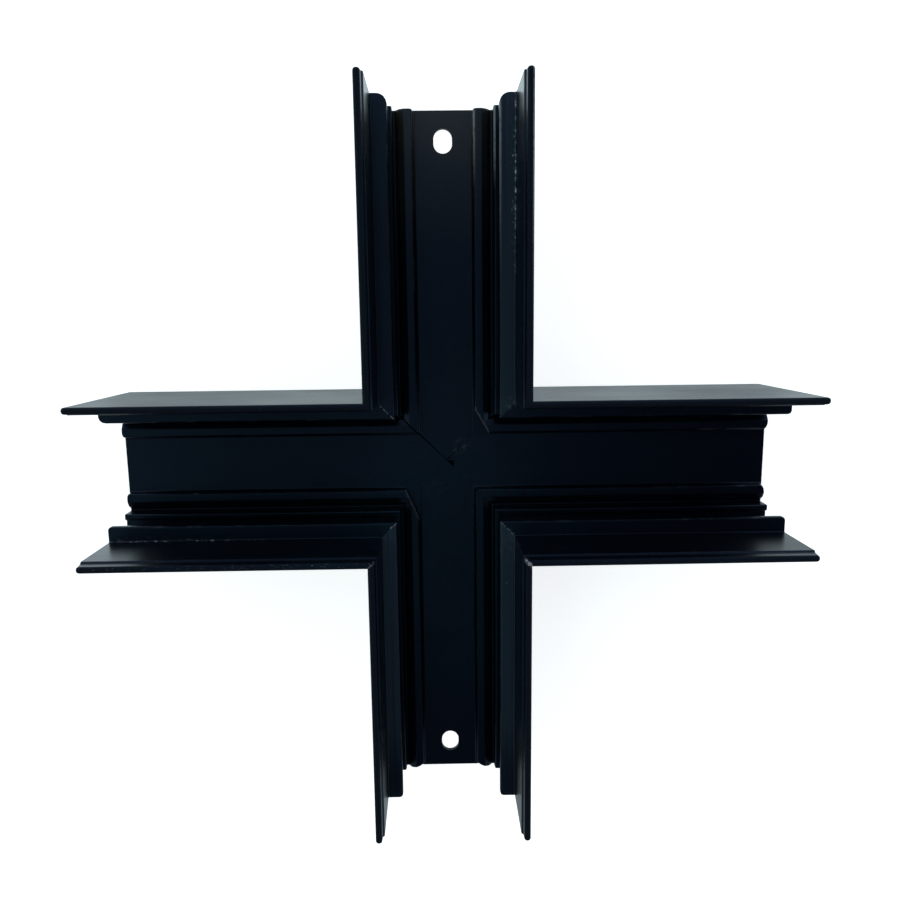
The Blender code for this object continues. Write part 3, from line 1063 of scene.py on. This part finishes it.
def edge_wear_effect():
    """Rubbing along the edges that the mesh marks, broken into patches."""
    given, result = new_effect("edge_wear", floats("Edge", "Patch Scale", "Amount"), ("Wear",))
    patches = noise(given["Place"], given["Patch Scale"], 6.0, 0.7)
    threshold = 1 - given["Amount"]
    wire(result.inputs["Wear"], ramp(patches, threshold, threshold + 0.15) * given["Edge"])


def speck_effect():
    """Scattered specks, each with a size of its own."""
    given, result = new_effect("specks", floats("Scale", "Share", "Size"), ("Specks",))
    inputs = {"Vector": given["Place"], "Scale": given["Scale"]}
    cells = outputs("ShaderNodeTexVoronoi", inputs)
    pick = outputs("ShaderNodeSeparateColor", {"Color": cells["Color"]})
    radius = (pick["Green"] * 0.7 + 0.3) * given["Size"]
    chosen = pick["Red"] < given["Share"]
    wire(result.inputs["Specks"], chosen * (cells["Distance"] < radius))


def scar_effect():
    """Chipped coat along a mitre, round one worn place."""
    inputs = {"Centre": "Vector", **floats("Radius", "Width")}
    given, result = new_effect("mitre_scar", inputs, ("Chips",))
    place = given["Place"]
    x, y, _ = xyz(place)
    wander = (noise(place, 420.0) - 0.5) * given["Width"]
    off_line = abs(wander + (abs(x) - abs(y)))
    ragged = ramp(noise(place, 1300.0, 3.0, 0.65), 0.44, 0.62)
    on_line = off_line < given["Width"] * ragged
    wire(result.inputs["Chips"], on_line * closeness(place, given["Centre"], given["Radius"]))


def effect(group, place, **values):
    """Outputs of an effect at a place; underscores in the names stand for spaces."""
    inputs = {name.replace("_", " ").title(): value for name, value in values.items()}
    return outputs("ShaderNodeGroup", {"Place": place, **inputs}, node_tree=bpy.data.node_groups[group])


def new_material(name):
    """Material, as (material, its shader, the place on the piece that it colours)."""
    material = bpy.data.materials.new(name)
    material.use_nodes = True
    tree = material.node_tree
    return material, tree.nodes["Principled BSDF"], output("Object", "ShaderNodeTexCoord", tree=tree)


def mark(place, name, kind="Fac"):
    """What the mesh carries under a name."""
    return output(kind, "ShaderNodeAttribute", tree=place.tree, attribute_name=name)


def edge_wear(place, edge, patch_scale, amount):
    """Mask of rubbing or dust along an edge."""
    return effect("edge_wear", place, edge=edge, patch_scale=patch_scale, amount=amount)["Wear"]


def specks(place, scale, some, width):
    """Mask of scattered specks: cells to a metre, share of them that hold one, and its width."""
    return effect("specks", place, scale=scale, share=some, size=width)["Specks"]


def bump(shader, height, distance):
    """Feed a height to a shader's normal; the distance is what a height of 1 stands for."""
    inputs = {"Height": height, "Distance": distance, "Strength": 1.0}
    wire(shader.inputs["Normal"], output("Normal", "ShaderNodeBump", inputs))


class CoatZones:
    """Places on the cross that the coat's colour, painted light and shade, wear and dust share, as masks."""

    def __init__(self, place, section):
        self.place = place
        self.section = section
        self.x, self.y, self.up = xyz(place)
        self.wide = abs(self.x)
        self.tall = abs(self.y)
        self.web = section.web_height
        self.shelf = self.web + section.shelf_rise
        self.crest = self.web + section.bead_height
        wall = section.mouth_width / 2
        from_axis = minimum(self.wide, self.tall)
        inside = from_axis < wall
        self.upright = self.tall > self.wide
        self.near_end = ramp(maximum(self.wide, self.tall), *END_RUN)
        # Toward the lower arm's end, where the coat gets painted shade
        self.foot = ramp(self.y, *FOOT_RUN)
        self.on_web = inside * about(self.up, self.web + section.bead_height / 2, section.bead_height)
        self.on_shelf = about(self.up, self.shelf, 0.12 * MILLIMETRE) * inside
        self.by_wall = ramp(from_axis, wall - 2 * MILLIMETRE, wall - 0.2 * MILLIMETRE) * self.on_shelf
        self.nose = ramp(self.up, TRACK_DEPTH - 0.9 * MILLIMETRE, TRACK_DEPTH - 0.3 * MILLIMETRE)
        self.outer_face = from_axis > HALF_WIDTH - 0.1 * MILLIMETRE
        self.low_side = (self.wide > self.tall) * (self.y < 0) * ramp(self.wide, *LIP_RUN)
        step = TRACK_DEPTH - section.lip_height + section.lip_rebate / 2
        self.low_step = self.low_side * about(self.up, step, MILLIMETRE / 2)


def coat_material(finish, section):
    """Satin black coat on extruded aluminium, rubbed along its edges and chipped at mitres, with painted
    light, shade and highlights in its colour.
    """
    material, shader, place = new_material("satin_black_coat")
    zones = CoatZones(place, section)
    grain = effect("fine_grain", place, grain_scale=2600.0, tone_scale=26.0)
    arm_place = mark(place, "arm_place", "Vector")
    lines = effect("draw_lines", arm_place, across_scale=700.0, along_scale=8.0)["Lines"]
    dust = dust_places(zones)
    chips = mitre_chips(zones)
    colour = coat_tone(zones, finish, grain["Tone"])
    for amount, shade in (
        # Painted light toward the upper arm's end
        (painted_glow_places(zones, grain["Tone"]), finish.coat_painted_glow),
        # Painted light along the shelves
        (painted_shelf_light(zones, lines), finish.coat_shelf_light),
        (zones.nose * between(0.8, 0.1, zones.low_side), finish.coat_nose),
        # Real rubbing and scuffs, with painted highlights on edges
        (rubbed_and_highlight_places(zones), finish.coat_rubbed_and_highlight),
        (dust, finish.dust),
        # Chips show bare metal; the same colour paints highlights along edges
        (maximum(chips, painted_edge_highlights(zones)), finish.bare_metal_and_highlight),
    ):
        colour = blended(amount, colour, shade)
    wire(shader.inputs["Base Color"], colour)
    wire(shader.inputs["Specular Tint"], (*finish.coat_mirror, 1))
    wire(shader.inputs["Specular IOR Level"], finish.coat_mirror_level)
    pits = specks(place, 300.0, 0.10, 0.07)
    rough = grain["Tone"] * 0.06 + (finish.coat_roughness - 0.05)
    rough = rough + lines * 0.08 + zones.nose * 0.45 + zones.low_step * 0.35
    rough = rough + maximum(dust, pits) * 0.3
    wire(shader.inputs["Roughness"], rough)
    bump(shader, grain["Height"] + lines * 0.25 - chips * 3.0 - pits * 8.0, COAT_RELIEF)
    return material


def coat_tone(zones, finish, tone):
    """Colour of the sound coat: teal and violet in soft patches, with painted shade making it deeper on side
    arms and foot.
    """
    patches = effect("fine_grain", zones.place, grain_scale=48.0, tone_scale=75.0)
    by_crack = closeness(zones.place, (-0.006, -0.020, zones.web), 0.040)
    teal = maximum(ramp(patches["Height"], 0.46, 0.62), by_crack)
    up_arm = closeness(zones.place, (0.0, 0.045, zones.web), 0.050)
    violet = maximum(ramp(patches["Tone"], 0.60, 0.95), up_arm)
    # Painted shade: the side arms darkened where less light reaches them than the uprights
    side_arm_shade = ramp(zones.wide - zones.tall, *SIDE_RUN)
    mottle = ramp(noise(zones.place, 520.0, 4.0, 0.6), 0.40, 0.70)
    colour = blended(tone, finish.coat_deep, finish.coat_bloom)
    for amount, shade in (
        (teal * 0.8, finish.coat_teal),
        (violet * 0.5, finish.coat_violet),
        (side_arm_shade * 0.8, finish.coat_deep),
        # Painted shade: darker toward the lower arm's end, where less light falls
        (zones.foot, finish.coat_deep),
        (mottle * 0.7, finish.coat_deep),
    ):
        colour = blended(amount, colour, shade)
    return colour


def painted_glow_places(zones, tone):
    """Painted light toward the upper arm's end, weaker on its right bead and beyond, as one mask."""
    left_of_bead = zones.x < zones.section.bead_gap / 2 + MILLIMETRE
    along = ramp(zones.y, *PAINTED_GLOW_RUN)
    return along * zones.on_web * ramp(tone, -0.8, 0.8) * between(0.5, 1.0, left_of_bead)


def painted_shelf_light(zones, lines):
    """Painted light greying the shelves, strongest on the lower arm and least on the side arms, as one mask.
    """
    upper_arm = between(0.75, 0.12, zones.x < 0)
    upright = between(1.0, upper_arm, zones.y > 0)
    greying = between(0.04, upright, zones.upright)
    fading = between(1.0, 0.25, ramp(zones.y, *SHELF_FOOT_RUN))
    return zones.on_shelf * (greying * fading) * ramp(lines, 0.10, 0.60)


def rubbed_and_highlight_places(zones):
    """Worn edges, stronger toward the ends as partly painted highlight, painted highlights along the cut
    beads' top edges, and scuffs in the coat, as one mask.
    """
    section = zones.section
    worn = edge_wear(zones.place, mark(zones.place, WORN), 150.0, 0.50)
    # Worn edges count more toward the arms' ends, partly as painted highlight
    worn = worn * between(0.22, 0.6, zones.near_end) * between(1.0, 0.1, zones.foot * zones.on_web)
    rubs_and_highlights = [worn]
    inner = section.bead_gap / 2
    at_crest = about(zones.up, zones.crest, MILLIMETRE / 2)
    width = noise(zones.place, 600.0, 3.0) * (1.1 * MILLIMETRE)
    # Painted highlights along the top edges of the cut beads
    for side, strength, (along, across) in (
        (1, 1.0, section.upper_right_cut),
        (-1, 0.5, section.lower_left_cut),
    ):
        part_x = zones.x * (side / across) - inner / across
        part_y = zones.y * (side / along) - inner / along
        past = (part_x + part_y - 1) * (along * across / math.hypot(along, across))
        edge = (part_x > -0.05) * (part_y > -0.05) * (past < width) * at_crest
        rubs_and_highlights.append(edge * strength)
    torn = ramp(noise(zones.place, 900.0, 4.0, 0.7), 0.48, 0.62)
    torn = torn * (zones.up > zones.web - 0.3 * MILLIMETRE)
    for centre, radius, strength in SCUFFS:
        rubs_and_highlights.append(torn * closeness(zones.place, centre, radius) * strength)
    return maximum(*rubs_and_highlights)


def dust_places(zones):
    """Dust caught along two creases, and specks on shelves, noses and outer faces, as one mask."""
    upper_right = (zones.y > zones.wide) * (zones.x > 0)
    left_low = (-zones.x > zones.tall) * (zones.y < 0)
    dusty_run = (left_low * 0.40 + upper_right) * zones.near_end
    crumbs = edge_wear(zones.place, mark(zones.place, DUSTY), 900.0, 0.50)
    band = edge_wear(zones.place, zones.by_wall, 1400.0, 0.42)
    layers = [maximum(crumbs, band) * dusty_run]
    speckled_nose = zones.nose * between(0.10, 1.0, left_low)
    for scale, some, width, where, strength in (
        (420.0, 0.16, 0.07, zones.on_shelf, 0.30),
        (1500.0, 0.75, 0.30, speckled_nose, 0.08),
        (800.0, 0.30, 0.18, speckled_nose, 0.30),
        (500.0, 0.40, 0.10, zones.outer_face, 0.12),
    ):
        layers.append(specks(zones.place, scale, some, width) * where * strength)
    return maximum(*layers)


def painted_edge_highlights(zones):
    """Painted highlights along edges on the right of the upper arm, toward its end, as one mask."""
    section = zones.section
    ledge_lip = zones.web + section.ledge_rise + section.ledge_lip_height
    uneven = ramp(noise(zones.place, 700.0, 3.0), 0.15, 0.55)
    edges = []
    for across, top, start, full, strength in (
        (section.bead_gap / 2, zones.crest, 0.078, 0.096, 0.26),
        (section.ledge_gap / 2, ledge_lip, 0.078, 0.091, 0.24),
        (section.shelf_gap / 2, zones.shelf, 0.050, 0.100, 0.22),
        (HALF_WIDTH - 0.2 * MILLIMETRE, TRACK_DEPTH, 0.040, 0.090, 0.26),
    ):
        beside = about(zones.x, across + 0.15 * MILLIMETRE, 0.40 * MILLIMETRE)
        at_top = about(zones.up, top - 0.35 * MILLIMETRE, 0.65 * MILLIMETRE)
        edges.append(beside * at_top * ramp(zones.y, start, full) * uneven * strength)
    return maximum(*edges)


def mitre_chips(zones):
    """Places along the mitres where the coat is chipped off, as one mask."""
    chips = []
    for x, y, z, radius, width, strength in (
        (-0.0168, 0.0168, zones.shelf, 0.0036, 0.00024, 0.20),
        (0.0150, -0.0150, zones.shelf, 0.0010, 0.00060, 0.50),
        (0.0172, -0.0172, zones.shelf, 0.0036, 0.00060, 0.09),
        (0.0198, -0.0198, zones.shelf + 0.014, 0.0120, 0.00050, 0.03),
        (0.0204, -0.0204, TRACK_DEPTH, 0.0030, 0.00100, 0.30),
        (-0.0158, -0.0158, zones.shelf, 0.0026, 0.00045, 0.20),
        (-0.0206, -0.0206, TRACK_DEPTH, 0.0020, 0.00060, 0.12),
    ):
        scar = effect("mitre_scar", zones.place, centre=(x, y, z), radius=radius, width=width)["Chips"]
        chips.append(scar * strength)
    return maximum(*chips)


def plate_material(finish):
    """Bright zinc plating, dulled in patches."""
    material, shader, place = new_material("zinc_plating")
    grain = effect("fine_grain", place, grain_scale=3200.0, tone_scale=110.0)
    lines = effect("draw_lines", place, across_scale=1800.0, along_scale=30.0)["Lines"]
    rubbed = edge_wear(place, mark(place, WORN), 200.0, 0.6)
    colour = blended(grain["Tone"], finish.zinc, finish.zinc_dull)
    wire(shader.inputs["Base Color"], blended(rubbed * 0.5, colour, finish.zinc))
    wire(shader.inputs["Metallic"], 1.0)
    wire(shader.inputs["Roughness"], grain["Tone"] * 0.16 + (finish.zinc_roughness - 0.08))
    bump(shader, grain["Height"] + lines, PLATE_RELIEF)
    return material


def oxide_material(finish):
    """Black oxide on steel, rubbed bright on crests and rims."""
    material, shader, place = new_material("black_oxide_steel")
    grain = effect("fine_grain", place, grain_scale=4200.0, tone_scale=260.0)
    rubbed = edge_wear(place, mark(place, WORN), 600.0, 0.5)
    wire(shader.inputs["Base Color"], blended(rubbed * 0.7, finish.oxide, finish.oxide_rubbed))
    wire(shader.inputs["Metallic"], 1.0)
    wire(shader.inputs["Roughness"], grain["Tone"] * 0.14 + (finish.oxide_roughness - 0.07))
    bump(shader, grain["Height"], OXIDE_RELIEF)
    return material


class TRACK_CROSS_OT_effects(bpy.types.Operator):
    """Build the node groups that the finishes share"""

    bl_idname = "track_cross.make_effects"
    bl_label = "Make Effects"

    def execute(self, context):
        for build in (grain_effect, draw_line_effect, edge_wear_effect, speck_effect, scar_effect):
            build()
        return {"FINISHED"}


class TRACK_CROSS_OT_arms(bpy.types.Operator):
    """Make the four mitred arms in their black coat"""

    bl_idname = "track_cross.make_arms"
    bl_label = "Make Arms"

    def execute(self, context):
        section = context.scene.track_cross.section
        coat = coat_material(context.scene.track_cross.finish, section)
        tree = arm_tree(prism_tree())
        for quarter, name in enumerate(ARMS):
            left_radius, right_radius = self.shelf_ends(section, name)
            values = {
                **same_named(section, ARM_SETTINGS),
                "Reach": REACH[name],
                "Bead Inner": section.bead_gap / 2,
                "Bead End Radius": getattr(section, name.replace("_arm", "_bead_end")),
                "Shelf Edge": section.shelf_gap / 2,
                "Shelf Under": section.web_height + section.shelf_rise - section.shelf_thickness,
                "Left Shelf Radius": left_radius,
                "Right Shelf Radius": right_radius,
                "Ledge End": section.lower_ledge_end if name == "lower_arm" else 0.0,
                "Ledge Outer": section.ledge_gap / 2 + section.ledge_lip_width,
                "Slot Reach": REACH[name] - section.slot_from_end,
                "Slotted": name in UPRIGHT_ARMS,
                "Pitted": name == PITTED_ARM,
                "Turn": quarter * QUARTER_TURN,
                "Seed": float(quarter),
                "Coat": coat,
            }
            for side, corner in (("Right", CORNERS[quarter]), ("Left", CORNERS[(quarter + 1) % 4])):
                values[side + " Gap"] = section.open_gap if corner == OPEN_CORNER else 0.0
                values[side + " Cut"] = self.cut(section, corner, name)
            outlines = [track_outline(section, left_radius, right_radius)]
            outlines += [chamber_outline(section, side) for side in (1, -1)]
            outline = outline_mesh(name + "_outline", outlines, section.mitre_rounding)
            make_piece("coated_" + name, outline, tree, values, coat, COAT_SLOT, name)
        return {"FINISHED"}

    def shelf_ends(self, section, arm):
        """Rounding of the shelves' ends on an arm's left and right side."""
        plain = section.shelf_end_radius
        if arm == "upper_arm":
            return section.upper_shelf_end_radius, section.upper_shelf_end_radius
        return plain, section.left_shelf_end_radius if arm == "left_arm" else plain

    def cut(self, section, corner, arm):
        """Reach of a bead's cut across and along an arm."""
        upright, sideways = getattr(section, corner + "_cut")
        return (sideways, upright, 0) if arm in UPRIGHT_ARMS else (upright, sideways, 0)


class TRACK_CROSS_OT_keys(bpy.types.Operator):
    """Make the four zinc plated corner keys"""

    bl_idname = "track_cross.make_keys"
    bl_label = "Make Corner Keys"

    def execute(self, context):
        joinery = context.scene.track_cross.joinery
        plating = plate_material(context.scene.track_cross.finish)
        tree = key_tree(bpy.data.node_groups["rounded_prism"])
        for name in KEYS:
            low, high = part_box(name)
            middle = (low + high) / 2
            quarter = round(math.atan2(middle.y, middle.x) / QUARTER_TURN - 0.5)
            turn = quarter * QUARTER_TURN
            values = {
                "Thickness": high.z - low.z,
                "Key Rounding": joinery.key_rounding,
                "Front": high.z,
                "Turn": turn,
                "Plating": plating,
            }
            outlines = self.outlines(joinery, low, high, turn)
            outline = outline_mesh(name + "_outline", outlines, joinery.key_rounding)
            make_piece("plated_" + name, outline, tree, values, plating, PLATE_SLOT, name)
        return {"FINISHED"}

    def outlines(self, joinery, low, high, turn):
        """Outline of a key turned back to the upper right corner, and of its four holes."""
        inner, reach = sorted((abs(low.x), abs(high.x)))
        outer = inner + joinery.key_width
        corners = [
            (inner, inner),
            (reach, inner),
            (reach, outer),
            (outer, outer),
            (outer, reach),
            (inner, reach),
        ]
        rounded = [(*corner, joinery.key_corner_radius, WORN) for corner in corners]
        plate = rounded_outline(rounded, joinery.key_rounding)
        holes = []
        for screw in SCREWS:
            screw_low, screw_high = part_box(screw)
            centre = (screw_low + screw_high) / 2
            if low.x < centre.x < high.x and low.y < centre.y < high.y:
                spot = Matrix.Rotation(-turn, 2) @ centre.xy
                radius = (screw_high.x - screw_low.x) / 2 + joinery.thread_clearance
                holes.append(circle_outline(spot, radius, joinery.hole_sides, joinery.key_rounding))
        return [plate, *holes]


class TRACK_CROSS_OT_screws(bpy.types.Operator):
    """Make the threaded grub screws"""

    bl_idname = "track_cross.make_screws"
    bl_label = "Make Grub Screws"

    def execute(self, context):
        joinery = context.scene.track_cross.joinery
        oxide = oxide_material(context.scene.track_cross.finish)
        tree = screw_tree()
        for number, name in enumerate(SCREWS):
            low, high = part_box(name)
            centre = (low + high) / 2
            values = {
                **same_named(joinery, SCREW_SETTINGS),
                "Diameter": high.x - low.x,
                "Length": high.z - low.z,
                "Point": (centre.x, centre.y, high.z),
                "Turn": number * SCREW_TURN,
                "Oxide": oxide,
            }
            start = bpy.data.meshes.new(name + "_start")
            make_piece("threaded_" + name, start, tree, values, oxide, OXIDE_SLOT, name)
        return {"FINISHED"}


class TRACK_CROSS_OT_stage(bpy.types.Operator):
    """Set the white floor, the soft light and the photograph's camera"""

    bl_idname = "track_cross.make_stage"
    bl_label = "Make Stage"

    def execute(self, context):
        stage = context.scene.track_cross.stage
        self.make_floor(stage)
        self.make_world(context.scene)
        self.make_lamp(stage)
        self.make_camera(context.scene, stage)
        context.scene.view_settings.view_transform = "Standard"
        return {"FINISHED"}

    def make_floor(self, stage):
        """Square floor just under the cross."""
        mesh = bpy.data.meshes.new("floor")
        shape = bmesh.new()
        bmesh.ops.create_grid(shape, x_segments=1, y_segments=1, size=stage.floor_size / 2)
        shape.to_mesh(mesh)
        shape.free()
        mesh.materials.append(self.floor_material(stage))
        floor = bpy.data.objects.new("floor", mesh)
        floor.location.z = -stage.floor_drop
        bpy.context.scene.collection.objects.link(floor)

    def floor_material(self, stage):
        """Pale finish that shows white to the camera, is mirrored by the coat and keeps a shadow."""
        material, shader, place = new_material("pale_floor")
        wire(shader.inputs["Base Color"], (*[stage.floor_shade] * 3, 1))
        wire(shader.inputs["Roughness"], stage.floor_roughness)
        rays = outputs("ShaderNodeLightPath", tree=place.tree)
        seen = rays["Is Camera Ray"]
        wire(shader.inputs["Emission Color"], blended(seen, stage.floor_tint, WHITE))
        x, y, _ = xyz(place)
        wide = abs(x)
        tall = abs(y)
        sheen = stage.floor_sheen
        for where, change in (
            (ramp(x, -0.097, -0.105) * (tall < HALF_WIDTH), 0.60),
            (ramp(wide, 0.05, 0.09) * ramp(wide, 0.11, 0.10), -0.16),
            (ramp(y, 0.092, 0.106), 0.62),
            (ramp(y, -0.096, -0.104), -0.38),
        ):
            sheen = where * change + sheen
        mirrored = maximum(rays["Is Glossy Ray"], rays["Is Transmission Ray"]) * sheen
        under = (wide < HALF_WIDTH - 2 * MILLIMETRE) * (tall < UPPER_HIGH.y)
        glow = between(stage.floor_glow, stage.floor_glow_under, under)
        wire(shader.inputs["Emission Strength"], seen * glow + mirrored)
        return material

    def make_world(self, scene):
        """White to the camera; for light, a pale ring with a dimmer strip overhead."""
        world = bpy.data.worlds.new("studio")
        world.use_nodes = True
        scene.world = world
        tree = world.node_tree
        tree.nodes.clear()
        x, y, z = xyz(output("Generated", "ShaderNodeTexCoord", tree=tree))
        overhead = blended(ramp(abs(x + 0.01), 0.04, 0.21), STRIP_LIGHT, BESIDE_STRIP_LIGHT)
        overhead = blended(ramp(x, -0.23, -0.32), overhead, LEFT_GLOW_LIGHT)
        overhead = blended(ramp(y, -0.37, -0.44), overhead, OVERHEAD_FOOT_LIGHT)
        ring = blended(ramp(y, -0.15, -0.75), RING_LIGHT, RING_FOOT_LIGHT)
        room = blended(ramp(z, 0.62, 0.84), ring, overhead)
        lit = output("Background", "ShaderNodeBackground", {"Color": room})
        white = output("Background", "ShaderNodeBackground", {"Color": (*WHITE, 1)}, tree)
        camera_ray = output("Is Camera Ray", "ShaderNodeLightPath", tree=tree)
        mixed = output("Shader", "ShaderNodeMixShader", {"Fac": camera_ray, 1: lit, 2: white})
        node("ShaderNodeOutputWorld", {"Surface": mixed})

    def make_lamp(self, stage):
        """Soft lamp high beyond the upper arm, whose glow its web mirrors."""
        lamp = bpy.data.lights.new("key_lamp", "AREA")
        lamp.energy = stage.lamp_power
        lamp.size = stage.lamp_width
        lamp.color = stage.lamp_tint
        holder = bpy.data.objects.new("key_lamp", lamp)
        holder.location = stage.lamp_place
        holder.rotation_euler = (-Vector(stage.lamp_place)).to_track_quat("-Z", "Y").to_euler()
        bpy.context.scene.collection.objects.link(holder)

    def make_camera(self, scene, stage):
        """Camera that sees the cross as the photograph does."""
        camera = bpy.data.cameras.new("photo_camera")
        camera.lens = stage.lens
        camera.sensor_width = SENSOR_WIDTH
        camera.shift_y = stage.shift
        camera.clip_start = NEAR_CLIP
        holder = bpy.data.objects.new("photo_camera", camera)
        turn = Euler(stage.camera_turn, "XYZ").to_matrix().transposed()
        holder.matrix_world = Matrix.Translation(stage.camera_place) @ turn.to_4x4()
        scene.collection.objects.link(holder)
        scene.camera = holder


class TRACK_CROSS_PT_sidebar(bpy.types.Panel):
    """Settings and steps of the track cross"""

    bl_idname = "TRACK_CROSS_PT_sidebar"
    bl_label = "Track Cross"
    bl_space_type = "VIEW_3D"
    bl_region_type = "UI"
    bl_category = "Track Cross"

    def draw(self, context):
        cross = context.scene.track_cross
        for operator in OPERATORS:
            self.layout.operator(operator.bl_idname)
        for label, group in (
            ("Section", cross.section),
            ("Joinery", cross.joinery),
            ("Finishes", cross.finish),
            ("Stage", cross.stage),
        ):
            box = self.layout.box()
            box.label(text=label)
            for name in group.__annotations__:
                box.prop(group, name)


OPERATORS = (
    TRACK_CROSS_OT_effects,
    TRACK_CROSS_OT_arms,
    TRACK_CROSS_OT_keys,
    TRACK_CROSS_OT_screws,
    TRACK_CROSS_OT_stage,
)
CLASSES = (
    TrackSection,
    JoinerySizes,
    FinishColours,
    StageSettings,
    TrackCross,
    *OPERATORS,
    TRACK_CROSS_PT_sidebar,
)


def register():
    """Make the classes and the scene's settings known."""
    for item in CLASSES:
        bpy.utils.register_class(item)
    bpy.types.Scene.track_cross = PointerProperty(type=TrackCross)


def unregister():
    """Take them away again."""
    del bpy.types.Scene.track_cross
    for item in reversed(CLASSES):
        bpy.utils.unregister_class(item)


def main():
    """Dress the cross and set the stage."""
    for leftover in [item for item in bpy.data.objects if item.type in {"CAMERA", "LIGHT"}]:
        bpy.data.objects.remove(leftover)
    register()
    bpy.ops.track_cross.make_effects()
    bpy.ops.track_cross.make_arms()
    bpy.ops.track_cross.make_keys()
    bpy.ops.track_cross.make_screws()
    bpy.ops.track_cross.make_stage()


if __name__ == "__main__":
    main()
